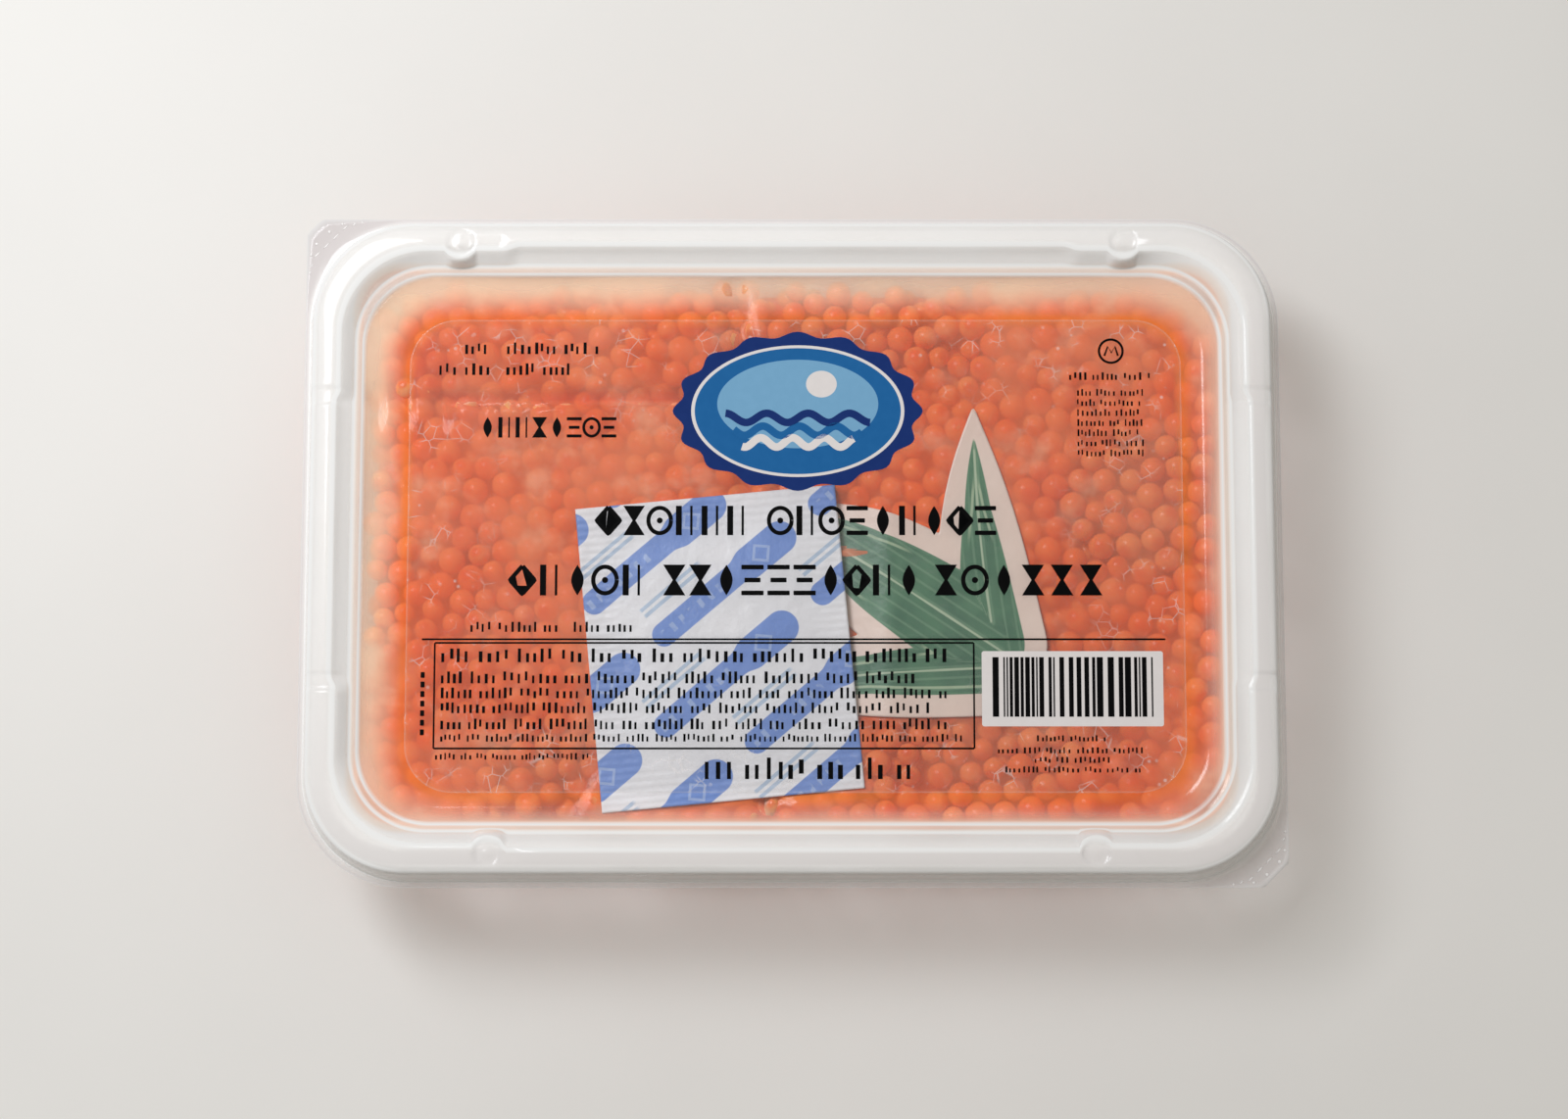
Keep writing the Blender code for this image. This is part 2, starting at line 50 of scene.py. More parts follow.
LAMP_COLOUR = (0.93, 0.958, 1.0)
SURROUND = 0.37
SURROUND_COLOUR = (1.0, 0.95, 0.87, 1.0)
LOOK_AT = (-1.32, -1.8, 21.0)
LOOK_DOWN = math.radians(82.0)
LOOK_FROM = 560.0
LENS = 76.5


def linear(red, green, blue):
    """A colour as the shaders want it, from the 0 to 255 numbers of a screen: ((c + 0.055) / 1.055) ^ 2.4."""
    parts = (np.array([red, green, blue]) / 255.0 + 0.055) / 1.055
    return (*(parts**2.4), 1.0)


class Wire:
    """An output socket in a material. Sums written on it as Python expressions add their Math nodes."""

    def __init__(self, tree, socket=None):
        self.tree = tree
        self.socket = socket

    def add(self, kind, settings, sockets, output=0):
        """Adds a node: its settings first, then the values or wires of its sockets. Gives one of its
        outputs."""
        node = self.tree.nodes.new(kind)
        for name, value in settings.items():
            setattr(node, name, value)
        for name, value in sockets.items():
            if isinstance(value, Wire):
                self.tree.links.new(value.socket, node.inputs[name])
            else:
                node.inputs[name].default_value = value
        return Wire(self.tree, node.outputs[output])

    def maths(self, operation, *values):
        """A Math node on the given values, or on this one alone."""
        return self.add("ShaderNodeMath", {"operation": operation}, dict(enumerate(values or (self,))))

    def __add__(self, other):
        return self.maths("ADD", self, other)

    def __radd__(self, other):
        return self.maths("ADD", other, self)

    def __sub__(self, other):
        return self.maths("SUBTRACT", self, other)

    def __rsub__(self, other):
        return self.maths("SUBTRACT", other, self)

    def __mul__(self, other):
        return self.maths("MULTIPLY", self, other)

    def __rmul__(self, other):
        return self.maths("MULTIPLY", other, self)

    def __truediv__(self, other):
        return self.maths("DIVIDE", self, other)

    def size(self):
        """The number without its sign."""
        return self.maths("ABSOLUTE")

    def step(self, low, high):
        """0 up to low, 1 from high, and a smooth S between."""
        sockets = {"Value": self, "From Min": low, "From Max": high}
        return self.add("ShaderNodeMapRange", {"interpolation_type": "SMOOTHSTEP"}, sockets)

    def between(self, first, second):
        """The first colour where this is 0, the second where it is 1."""
        return self.add("ShaderNodeMix", {"data_type": "RGBA"}, {0: self, 6: first, 7: second}, 2)

    def split(self, axis):
        """One part of a vector: 0, 1 or 2."""
        return self.add("ShaderNodeSeparateXYZ", {}, {0: self}, axis)

    def value_of(self, name):
        """A number kept at each point of the mesh."""
        return self.add("ShaderNodeAttribute", {"attribute_name": name}, {}, 2)

    def place(self):
        """Object coordinates, in metres."""
        return self.add("ShaderNodeTexCoord", {}, {}, 3)

    def noise(self, scale, detail=2.0, where=None, output=0):
        """Noise with the given number of its grains to the metre."""
        sockets = {"Vector": where or self.place(), "Scale": scale, "Detail": detail}
        return self.add("ShaderNodeTexNoise", {}, sockets, output)


def new_material(name):
    """An empty node material, and a wire to build it from."""
    material = bpy.data.materials.new(name)
    material.use_nodes = True
    material.node_tree.nodes.clear()
    return material, Wire(material.node_tree)


def surface(start, sockets, relief=None, relief_depth=0.0, shown=None):
    """A Principled shader, bumped by relief, and see-through where shown is less than 1."""
    if relief is not None:
        bump = start.add("ShaderNodeBump", {}, {"Height": relief, "Distance": relief_depth})
        sockets = {**sockets, "Normal": bump}
    shader = start.add("ShaderNodeBsdfPrincipled", {}, sockets)
    if shown is not None:
        clear = start.add("ShaderNodeBsdfTransparent", {}, {"Color": (1.0, 1.0, 1.0, 1.0)})
        shader = start.add("ShaderNodeMixShader", {}, {0: shown, 1: clear, 2: shader})
    output = start.tree.nodes.new("ShaderNodeOutputMaterial")
    start.tree.links.new(shader.socket, output.inputs["Surface"])


def new_object(name, points, faces, material):
    """A smooth-shaded mesh from points in millimetres and faces as lists of point numbers."""
    mesh = bpy.data.meshes.new(name)
    mesh.from_pydata((np.asarray(points) * MM).tolist(), [], faces)
    mesh.shade_smooth()
    mesh.materials.append(material)
    thing = bpy.data.objects.new(name, mesh)
    bpy.context.scene.collection.objects.link(thing)
    return thing


table_finish, start = new_material("pale_table")
mottle = start.noise(9.0, 5.0).step(0.3, 0.7)
surface(start, {
    "Base Color": mottle.between(linear(235, 233, 229), linear(239, 237, 233)),
    "Roughness": 0.55,
})
corners = [(-1, -1, 0), (1, -1, 0), (1, 1, 0), (-1, 1, 0)]
table = new_object("table", np.array(corners) * TABLE_REACH, [[0, 1, 2, 3]], table_finish)

lamp = bpy.data.objects.new("lamp", bpy.data.lights.new("lamp", "AREA"))
lamp.data.shape = "SQUARE"
lamp.data.size = LAMP_SIDE * MM
lamp.data.energy = LAMP_WATTS
lamp.data.color = LAMP_COLOUR
lamp.location = Vector(LAMP_PLACE) * MM
lamp.rotation_euler = (-lamp.location).to_track_quat("-Z", "Y").to_euler()
bpy.context.scene.collection.objects.link(lamp)

world = bpy.data.worlds.new("surround")
world.use_nodes = True
world.node_tree.nodes["Background"].inputs["Color"].default_value = SURROUND_COLOUR
world.node_tree.nodes["Background"].inputs["Strength"].default_value = SURROUND
bpy.context.scene.world = world
bpy.context.scene.view_settings.view_transform = "Standard"

camera = bpy.data.objects.new("camera", bpy.data.cameras.new("camera"))
camera.data.lens = LENS
camera.data.sensor_width = 36.0
camera.data.clip_start = 0.01
back_along_view = Vector((0.0, -math.cos(LOOK_DOWN), math.sin(LOOK_DOWN)))
camera.location = (Vector(LOOK_AT) + LOOK_FROM * back_along_view) * MM
camera.rotation_euler = (-back_along_view).to_track_quat("-Z", "Y").to_euler()
bpy.context.scene.collection.objects.link(camera)
bpy.context.scene.camera = camera

# The tub
# A tray thermoformed from one clear sheet: leaning sides, a floor that stands on a low ring, and round the
# top a shoulder, a bead that the lid grips, and a narrow flange. The sheet is milky where it is bent, most
# in the bead.
LENGTH = 165.0
WIDTH = 113.5
SHEET = 0.5
# inset from the outline, height, corner radius
TUB_PROFILE = (
    (0.8, 20.1, 17.2), (2.3, 20.1, 16.0), (3.0, 26.0, 15.3), (3.7, 26.7, 14.8), (5.5, 26.7, 14.4),
    (6.0, 26.1, 14.2), (6.5, 23.8, 13.8), (8.8, 23.6, 12.9), (12.3, 2.6, 10.5), (13.0, 1.2, 9.8),
    (14.5, 0.5, 8.6), (18.5, 0.5, 6.0), (19.9, 1.2, 5.2), (21.5, 1.2, 4.6),
)
TUB_ROW_STEP = 0.55
TUB_SIDE_STEP = 3.0
TUB_SIDES = (55.5, 30.0)
# inset and milkiness
TUB_MILK = (
    (2.3, 0.2), (3.0, 1.0), (6.5, 1.0), (9.0, 0.04), (12.0, 0.03), (13.0, 0.14), (20.0, 0.11), (21.0, 0.03),
)


def rounded_profile(keys, step, rounding=0.35):
    """A profile whose bends are parabolas round each key row K, cut at even steps:
    (1 - t)^2 A + 2 t (1 - t) K + t^2 B, from a point A before K to a point B after it."""
    keys = np.array(keys, float)
    t = np.linspace(0.0, 1.0, 6)[:, None]
    rows = [keys[:1]]
    for before, key, after in zip(keys[:-2], keys[1:-1], keys[2:]):
        start_row = key + (before - key) * rounding
        end_row = key + (after - key) * rounding
        rows.append((1 - t) ** 2 * start_row + 2 * t * (1 - t) * key + t**2 * end_row)
    rows = np.vstack([*rows, keys[-1:]])
    walked = np.concatenate([[0.0], np.cumsum(np.hypot(np.diff(rows[:, 0]), np.diff(rows[:, 1])))])
    even = np.linspace(0.0, walked[-1], int(walked[-1] / step) + 1)
    return np.stack([np.interp(even, walked, column) for column in rows.T], axis=1)


def side_places(reach, step, fine_step=0.4, fine=()):
    """Places along a straight side, closer together in the stretches that have detail."""
    places = [np.linspace(-reach, reach, int(2 * reach / step) + 1)]
    places += [np.arange(low, high, fine_step) for low, high in fine]
    places = np.unique(np.concatenate(places))
    return places[np.concatenate([[True], np.diff(places) > 0.5 * fine_step])]


def once_round(long_side, short_side, corner_steps):
    """The stations of a rounded rectangle, anticlockwise from its right end: directions round each corner,
    and after it the places along a side. Columns: corner's sign in x and y, outward direction in x and
    y, and the fixed x or y of a station on a side, or nan."""
    blocks = []
    runs = ((1, 1, long_side[::-1]), (-1, 1, short_side[::-1]), (-1, -1, long_side), (1, -1, short_side))
    for corner, (sign_x, sign_y, run) in enumerate(runs):
        turn = np.radians(np.linspace(90 * corner, 90 * corner + 90, corner_steps + 1))
        out = np.concatenate([turn, np.full(len(run), turn[-1])])
        block = np.full((len(out), 6), np.nan)
        block[:, 0], block[:, 1] = sign_x, sign_y
        block[:, 2], block[:, 3] = np.cos(out), np.sin(out)
        block[len(turn):, 4 + corner % 2] = run
        blocks.append(block)
    return np.vstack(blocks)


def outline(stations, inset, radius, shift=0.0, length=LENGTH, width=WIDTH):
    """x = sign (half length - inset - shift - radius) + radius times direction, unless fixed; y likewise."""
    sign_x, sign_y, out_x, out_y, fixed_x, fixed_y = stations.T
    x = sign_x * (length / 2 - inset - shift - radius) + radius * out_x
    y = sign_y * (width / 2 - inset - shift - radius) + radius * out_y
    return np.where(np.isnan(fixed_x), x, fixed_x), np.where(np.isnan(fixed_y), y, fixed_y)


def ring_faces(rows, columns, foot=False):
    """Quads between each closed ring of points and the next, one flat face within the last ring, and with
    foot one more that closes the first."""
    here = np.arange(rows - 1)[:, None] * columns + np.arange(columns)
    ahead = np.arange(rows - 1)[:, None] * columns + (np.arange(columns) + 1) % columns
    quads = np.stack([here, ahead, ahead + columns, here + columns], axis=-1).reshape(-1, 4).tolist()
    caps = [list(range((rows - 1) * columns, rows * columns))]
    return quads + caps + [list(range(columns))[::-1]] * foot


def rings_object(name, x, y, z, material, foot=False):
    """A piece from rows of closed rings of points."""
    points = np.stack(np.broadcast_arrays(x, y, z), axis=-1).reshape(-1, 3)
    return new_object(name, points, ring_faces(*x.shape, foot), material)


def set_values(thing, name, values):
    """Keeps a number at each point of the mesh for its material."""
    kept = thing.data.attributes.new(name, "FLOAT", "POINT")
    kept.data.foreach_set("value", np.asarray(values, np.float32).ravel())


def sheet_wall(thing, thickness, offset=-1.0, far_finish=None):
    """Gives a surface its wall, on the side away from its faces' normals unless offset is 0."""
    wall = thing.modifiers.new("wall", "SOLIDIFY")
    if far_finish:
        thing.data.materials.append(far_finish)
        wall.material_offset = 1
    wall.thickness = thickness * MM
    wall.offset = offset
    wall.use_even_offset = True


# Greys under the sheets' gloss: a painted reflection of the blurred surroundings, paler on slopes.
SLOPE_PAINTED_REFLECTION = (0.97, 0.95, 0.92, 1.0)
LEVEL_PAINTED_REFLECTION = (0.15, 0.14, 0.13, 1.0)


def see_through(start, colour, milk, flatter=None):
    """A clear sheet's surface. The share milk scatters light in its colour. For the angle of sight, the share
    0.03 + 0.97 (1 - cos)^5 mirrors, as a strong coat over a grey that is a painted reflection of the blurred
    surroundings, paler where the sheet slopes. Milk scatters from within, so flatter shades it as if the
    relief were that much shallower."""
    aslant = start.add("ShaderNodeLayerWeight", {}, {"Blend": 0.5}, 1)
    gloss = aslant.maths("POWER", aslant, 5.0) * 0.97 + 0.03
    facing = start.add("ShaderNodeNewGeometry", {}, {}, 1)
    level = facing.split(2).size().step(0.6, 0.97)
    shown = milk + gloss
    coat = gloss / shown * 2.0
    # The grey under the coat is a painted reflection of the surroundings.
    painted_reflection = level.between(SLOPE_PAINTED_REFLECTION, LEVEL_PAINTED_REFLECTION)
    sockets = {
        "Base Color": (milk / shown).between(painted_reflection, colour),
        "Roughness": 0.5, "Specular IOR Level": 0.0,
        "Coat Weight": coat.maths("MINIMUM", coat, 1.0), "Coat IOR": 4.0, "Coat Roughness": 0.12,
    }
    if flatter:
        factors = (1.0, 1.0, flatter)
        raised = start.add("ShaderNodeVectorMath", {"operation": "MULTIPLY"}, {0: facing, 1: factors})
        sockets["Normal"] = start.add("ShaderNodeVectorMath", {"operation": "NORMALIZE"}, {0: raised})
    surface(start, sockets, shown=shown.maths("MINIMUM", shown, 1.0))


TRACE_OF_MILK = 0.01
SHEET_CLOUDS = 60.0
SHEET_TINTS = ((1.0, 0.975, 0.945, 1.0), (0.98, 0.965, 0.945, 1.0))
PAINTED_FOOD_LIGHT_TINT = (1.0, 0.83, 0.70, 1.0)
TAB_GREY_AND_PAINTED_SHADE = (0.70, 0.65, 0.64, 1.0)
PAINTED_HIGHLIGHT_WHITE = (1.0, 1.0, 0.99, 1.0)


def clear_plastic(name, bent_milk, edge_milk):
    """The tub's and the lid's sheet: a little milk, more where it is bent, mist where it does not
    touch the food, and greyer lifting tabs. Painted light on it: white highlight lines along the bends, the
    food's glow on the ledge and in the mist, and shade on the ring's top on the side away from the lamp."""
    material, start = new_material(name)
    edge_on = start.add("ShaderNodeLayerWeight", {}, {"Blend": 0.5}, 1)
    cloud = start.noise(SHEET_CLOUDS, 1.0)
    bent, mist_and_painted_glow, grey_tabs_and_painted_shade, bend = [start.value_of(kept) for kept in ("bent", "mist_and_painted_glow", "grey_tabs_and_painted_shade", "bend")]
    milk = TRACE_OF_MILK + bent * (bent_milk * 0.8 + cloud * bent_milk * 0.4)
    milk = milk + edge_on * edge_on * edge_milk + mist_and_painted_glow * (0.6 + cloud * 0.8) + grey_tabs_and_painted_shade * 0.4 + bend * 0.4
    clear = cloud.between(*SHEET_TINTS)
    # The food's orange light on the ledge is painted: a warm glow.
    clear = (start.value_of("painted_food_light") * 0.75).between(clear, PAINTED_FOOD_LIGHT_TINT)
    # The mist's peach colour is a painted glow of the food's light.
    clear = (mist_and_painted_glow * 5.0).between(clear, linear(255, 215, 194))
    # Grey of the tabs, which also stands as painted shade on the ring's top away from the lamp.
    clear = grey_tabs_and_painted_shade.between(clear, TAB_GREY_AND_PAINTED_SHADE)
    # White lines along the sharpest bends and the cut edge are painted highlights.
    see_through(start, bend.between(clear, PAINTED_HIGHLIGHT_WHITE), milk, flatter=6.0)
    return material


def inner_plastic(name, tint):
    """The sheet's far face, seen through the near one: only a trace of milk, and gloss."""
    material, start = new_material(name)
    see_through(start, tint, start.noise(SHEET_CLOUDS, 0.0) * 0.01 + TRACE_OF_MILK)
    return material


tub_plastic = clear_plastic("clear_tub_sheet", bent_milk=0.85, edge_milk=0.05)
far_plastic = inner_plastic("clear_sheet_far_side", (0.95, 0.94, 0.92, 1.0))
tub_profile = rounded_profile(TUB_PROFILE, TUB_ROW_STEP)
tub_walk = once_round(*[side_places(reach, TUB_SIDE_STEP) for reach in TUB_SIDES], corner_steps=24)
x, y = outline(tub_walk, tub_profile[:, 0:1], tub_profile[:, 2:3])
tub = rings_object("tub_sheet", x, y, tub_profile[:, 1:2], tub_plastic)
set_values(tub, "bent", np.broadcast_to(np.interp(tub_profile[:, 0:1], *zip(*TUB_MILK)), x.shape))
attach(tub, "root")
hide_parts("tub")
sheet_wall(tub, SHEET, far_finish=far_plastic)

# The roe
# About 2,300 salmon eggs, 3.6 to 4.9 mm across, packed wet to the brim, each orange with a redder spot of
# gathered oil. They are laid in layers on a triangular lattice, pushed apart until they hardly overlap, and
# pressed flat where they meet the plastic. A solid core stands for the eggs in the middle, which no view
# reaches.
EGG_RADIUS = 2.28
EGG_SIZES = (0.78, 1.07)
EGG_SPACING = 4.35
EGG_STRAY = 1.7
LAYER_STEP = (1.7, 1.1)
ROE_TOP = 20.4
ROE_SINK = 1.4
LAYER_HEIGHTS = (18.1, 14.35, 10.5, 6.7, 3.3)
SIDE_LAYER_DEPTH = 6.5
LOWEST_CENTRE = 3.3
SPREAD_ROUNDS = 14
# inset, height and corner radius at the foot of the tub's inner wall, and how they change up to its shoulder
WALL_FOOT = (12.3, 2.6, 10.5)
WALL_CHANGE = (-3.5, 21.0, 2.4)
# tip x, tip y, direction of the middle line away from the tip, its bend, length, half width, length of the
# tip
LEAF_BLADES = (
    (30.7, 24.9, math.radians(-90.0), 0.0020, 47.5, 9.8, 19.0),
    (-3.0, 8.0, math.radians(-33.5), 0.0, 48.0, 12.0, 12.0),
    (-5.0, -22.0, math.radians(3.0), 0.0, 44.0, 8.2, 10.0),
)
LEAF_END = 8.0
LEAF_MARGIN = 3.7
LEAF_LEVELS = (17.9, 2.45)
SACHET_SIZE = (44.0, 51.5)
SACHET_CENTRE = (-12.2, -16.6)
SACHET_TURN = math.radians(5.5)
SACHET_THICK = 1.9
SACHET_TOP = 20.7
SEAL_THICK = 0.3
# how far the eggs' tops lie below the leaf sheet's middle and below the sachet
LEAF_GAP = 0.5
SACHET_GAP = 0.25
LABEL_SIZE = (130.4, 80.2)
LABEL_CENTRE = (0.6, -1.0)
LABEL_RADIUS = 8.0
# direction, stretch and start of each wave of the hills
HILL_WAVES = ((0.3, 1.0, 0.0), (1.4, 1.27, 2.1), (2.2, 0.83, 4.0), (2.9, 1.5, 1.2), (0.9, 0.66, 5.1))
draw = np.random.default_rng(7)


def s_step(value, low, high):
    """0 up to low, 1 from high, 3 t^2 - 2 t^3 between."""
    t = np.clip((value - low) / (high - low), 0.0, 1.0)
    return t * t * (3.0 - 2.0 * t)


def turned(x, y, turn):
    """Places measured along axes that are turned anticlockwise: x cos + y sin and y cos - x sin."""
    return x * math.cos(turn) + y * math.sin(turn), y * math.cos(turn) - x * math.sin(turn)


def wall_at(height):
    """(inset, corner radius) of the tub's inner wall, which leans evenly from its foot to its shoulder."""
    share = (np.clip(height, 1.3, 23.6) - WALL_FOOT[1]) / WALL_CHANGE[1]
    return WALL_FOOT[0] + WALL_CHANGE[0] * share, WALL_FOOT[2] + WALL_CHANGE[2] * share


def depth_within(x, y, half_x, half_y, radius):
    """How far a point lies inside a rounded rectangle about the middle, measured from its edge, below 0
    outside."""
    over_x = np.abs(x) - (half_x - radius)
    over_y = np.abs(y) - (half_y - radius)
    corner = np.hypot(np.maximum(over_x, 0), np.maximum(over_y, 0))
    return radius - corner - np.minimum(np.maximum(over_x, over_y), 0)


def depth_inside(x, y, inset, radius):
    """How far a point lies inside the pack's outline drawn in by inset."""
    return depth_within(x, y, LENGTH / 2 - inset, WIDTH / 2 - inset, radius)


def within_wall(points, spare):
    """Moves points that are past the tub's wall, or nearer than spare, back in. A corner keeps its curve."""
    inset, radius = wall_at(points[..., 2])
    over_x = np.abs(points[..., 0]) - (LENGTH / 2 - inset - radius)
    over_y = np.abs(points[..., 1]) - (WIDTH / 2 - inset - radius)
    corner = np.hypot(np.maximum(over_x, 0), np.maximum(over_y, 0))
    back = np.minimum(1.0, (radius - spare) / np.maximum(corner, 1e-6))
    moved = points.copy()
    for axis, over in ((0, over_x), (1, over_y)):
        moved[..., axis] -= np.sign(points[..., axis]) * np.maximum(over, 0) * (1 - back)
    return moved


def on_blade(x, y, blade):
    """(depth inside a blade's edge, distance from its middle line, depth inside its green). At d from the
    tip the middle line has turned aside by bend d^2, and the blade is half width (1 - exp(-(d /
    tip)^1.15)) to each side, with a round end. The white margin widens with d."""
    tip_x, tip_y, turn, bend, length, half_width, tip_length = blade
    gone, aside = turned(x - tip_x, y - tip_y, turn)
    aside = aside - bend * gone**2
    half = half_width * (1 - np.exp(-((np.maximum(gone, 0) / tip_length) ** 1.15)))
    past = np.clip((gone - length + LEAF_END) / LEAF_END, 0, 1)
    half = half * np.sqrt(1 - past**2)
    depth = np.where(gone < 0, gone, half - np.abs(aside))
    return depth, aside, depth - np.clip(1.3 + 0.133 * gone, 0.0, LEAF_MARGIN)


def inside_leaf(x, y):
    """Depth inside the edge of whichever blade reaches furthest."""
    return np.max([on_blade(x, y, blade)[0] for blade in LEAF_BLADES], axis=0)


def leaf_height(x, y):
    """Height of the leaf sheet's middle: up under the lid, down where it passes below the sachet, a little
    wavy."""
    wave = 0.12 * np.sin(2 * np.pi * x / 28.0) * np.cos(2 * np.pi * y / 38.0)
    return LEAF_LEVELS[0] + LEAF_LEVELS[1] * s_step(x, 7.5, 17.0) + wave


def sachet_half_thick(across, along):
    """Half the sachet's thickness: thin in its sealed edges, full in the middle. Places are shares of its
    half size."""
    swell = (1 - s_step(np.abs(across), 0.35, 0.9)) * (1 - s_step(np.abs(along), 0.4, 0.92))
    return (SEAL_THICK + (SACHET_THICK - SEAL_THICK) * swell) / 2


def hills(x, y, width):
    """Broad smooth hills from 0 to 1: the mean of five slanted sine waves."""
    total = 0.0
    for turn, stretch, begin in HILL_WAVES:
        total = total + np.sin(turned(x, y, turn)[0] * 2 * math.pi / (width * stretch) + begin)
    return 0.5 + total / 7.0


def past_label(x, y):
    """How far a point lies outside the label's rounded edge, below 0 within it."""
    half_x, half_y = LABEL_SIZE[0] / 2, LABEL_SIZE[1] / 2
    return -depth_within(x - LABEL_CENTRE[0], y - LABEL_CENTRE[1], half_x, half_y, LABEL_RADIUS)


def lit_side(x, y):
    """1 at the upper left, which faces the lamp, to 0 at the lower right."""
    return 0.5 + 0.5 * np.clip(1.3 * y / WIDTH - x / LENGTH, -1, 1)


def roe_level(x, y):
    """Height of the heap: just under the lid, the leaf and the sachet, with broad hollows."""
    level = ROE_TOP - ROE_SINK * np.clip(hills(x, y, 40.0), 0, 1)
    under_leaf = leaf_height(x, y) - LEAF_GAP + 2.5 * s_step(-inside_leaf(x, y), 0.0, 3.5)
    across, along = turned(x - SACHET_CENTRE[0], y - SACHET_CENTRE[1], SACHET_TURN)
    across, along = across / (SACHET_SIZE[0] / 2), along / (SACHET_SIZE[1] / 2)
    past_sachet = np.maximum(np.maximum(np.abs(across), np.abs(along)) - 1.0, 0.0)
    half = sachet_half_thick(np.clip(across, -1, 1), np.clip(along, -1, 1))
    under_sachet = SACHET_TOP - SACHET_THICK / 2 - half - SACHET_GAP + 2.0 * s_step(past_sachet, 0.0, 0.12)
    return np.minimum(level, np.minimum(under_leaf, under_sachet))


columns, rows = np.meshgrid(np.arange(-20, 21), np.arange(-15, 16))
centres = []
for layer, height in enumerate(LAYER_HEIGHTS):
    stray_x, stray_y = [draw.uniform(-EGG_STRAY, EGG_STRAY, columns.shape) for axis in "xy"]
    x = (columns + 0.5 * (rows % 2)) * EGG_SPACING + stray_x + LAYER_STEP[0] * layer
    y = rows * EGG_SPACING * math.sqrt(0.75) + stray_y + LAYER_STEP[1] * layer
    x, y = turned(x, y, -math.radians(9.0 + 17.0 * layer))
    inside = depth_inside(x, y, *wall_at(height))
    kept = inside > 0.8 * EGG_RADIUS
    if 1 < layer < len(LAYER_HEIGHTS) - 1:
        kept &= inside < SIDE_LAYER_DEPTH
    z = height + draw.uniform(-1.1, 0.6, x.shape)
    centres.append(np.stack([x[kept], y[kept], z[kept]], axis=1))
upper_count = len(centres[0]) + len(centres[1])
centres = np.vstack(centres)
radii = EGG_RADIUS * draw.uniform(*EGG_SIZES, len(centres))

for _ in range(SPREAD_ROUNDS):
    squares = (centres**2).sum(1)
    gap = np.sqrt(np.maximum(squares[:, None] + squares[None, :] - 2 * centres @ centres.T, 1e-6))
    push = np.clip((radii[:, None] + radii[None, :]) * 0.98 - gap, 0, None) / gap * 0.3
    np.fill_diagonal(push, 0.0)
    centres = centres + push.sum(1)[:, None] * centres - push @ centres
    centres = within_wall(centres, 0.86 * EGG_RADIUS)
    ceiling = roe_level(centres[:, 0], centres[:, 1]) - 0.9 * radii
    centres[:, 2] = np.clip(centres[:, 2], LOWEST_CENTRE, ceiling)

ball = bmesh.new()
bmesh.ops.create_icosphere(ball, subdivisions=2, radius=1.0)
ball_points = np.array([point.co[:] for point in ball.verts])
ball_faces = np.array([[point.index for point in face.verts] for face in ball.faces])
ball.free()


def egg_skin():
    """Wet orange egg: a shade of its own, a deeper spot of oil, and a pale patch where it is pressed flat."""
    material, start = new_material("salmon_egg")
    shade = start.value_of("shade")
    colour = shade.step(0.0, 1.0).between(linear(255, 132, 46), linear(255, 182, 102))
    patch = start.noise(45.0, 2.0).step(0.35, 0.65)
    colour = (patch * 0.5).between(colour, linear(255, 156, 90))
    mottle = start.noise(900.0, 1.0).step(0.35, 0.75)
    colour = (mottle * 0.3).between(colour, linear(246, 104, 46))
    colour = (start.value_of("oil").step(0.72, 0.95) * 0.75).between(colour, linear(240, 92, 36))
    colour = (start.value_of("pressed") * 0.6).between(colour, linear(255, 190, 150))
    surface(start, {
        "Base Color": colour,
        "Roughness": 0.16 + mottle * 0.1,
        "IOR": 1.38,
    })
    return material


def heap_of_eggs(name, middles, sizes, material):
    """One mesh of many eggs: each is the small ball, moved and sized, and pressed flat by wall, floor and
    lid."""
    count = len(middles)
    balls = ball_points[None, :, :] * sizes[:, None, None]
    squash = draw.uniform(0.9, 1.0, count)
    balls = balls * np.stack([np.ones(count), np.ones(count), squash], axis=1)[:, None, :]
    loose = balls + middles[:, None, :]
    pressed = within_wall(loose, 0.04)
    top = np.minimum(roe_level(pressed[..., 0], pressed[..., 1]) + 0.05, 20.8)
    pressed[..., 2] = np.clip(pressed[..., 2], 1.35, top)
    moved = np.linalg.norm(pressed - loose, axis=-1)
    faces = (ball_faces[None, :, :] + len(ball_points) * np.arange(count)[:, None, None]).reshape(-1, 3)
    heap = new_object(name, pressed.reshape(-1, 3), faces.tolist(), material)
    aim = draw.normal(size=(count, 3)) + np.array([0.0, 0.0, 1.2])
    aim /= np.linalg.norm(aim, axis=1)[:, None]
    set_values(heap, "oil", np.einsum("pk,nk->np", ball_points, aim))
    set_values(heap, "shade", np.repeat(draw.uniform(0, 1, count), len(ball_points)))
    set_values(heap, "pressed", s_step(moved, 0.05, 0.5))
    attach(heap, "root")
    return heap


egg_finish = egg_skin()
upper_roe = heap_of_eggs("roe_upper_eggs", centres[:upper_count], radii[:upper_count], egg_finish)
heap_of_eggs("roe_lower_eggs", centres[upper_count:], radii[upper_count:], egg_finish)
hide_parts("roe")

# The brine and the core
# Thin cloudy orange brine and egg jelly stand between the eggs and just over their tops, and wet the tub's
# wall all round. They are brightest along the label's edge, where the lid is pressed down, and pale out
# towards the wall in a pale mist that is stronger on the lamp's side, as painted light. The body of brine
# reaches a little into the plastic, so no air shows between them.
BRINE_FOOT = 0.9
BRINE_RISE = 0.12
BRINE_STEPS = 9
WALL_OVERLAP = 0.15
CORE_FOOT = 2.4
CORE_GAP = 2.6
CORE_TOP = 14.5
CORE_STEPS = 5
RIM_HEIGHT = 19.0


def drawn_in(x, y, length, width, share):
    """An outline drawn in towards its middle line, share outline + (1 - share) middle line."""
    return x * (1 - width / length) * (1 - share) + x * share, y * share


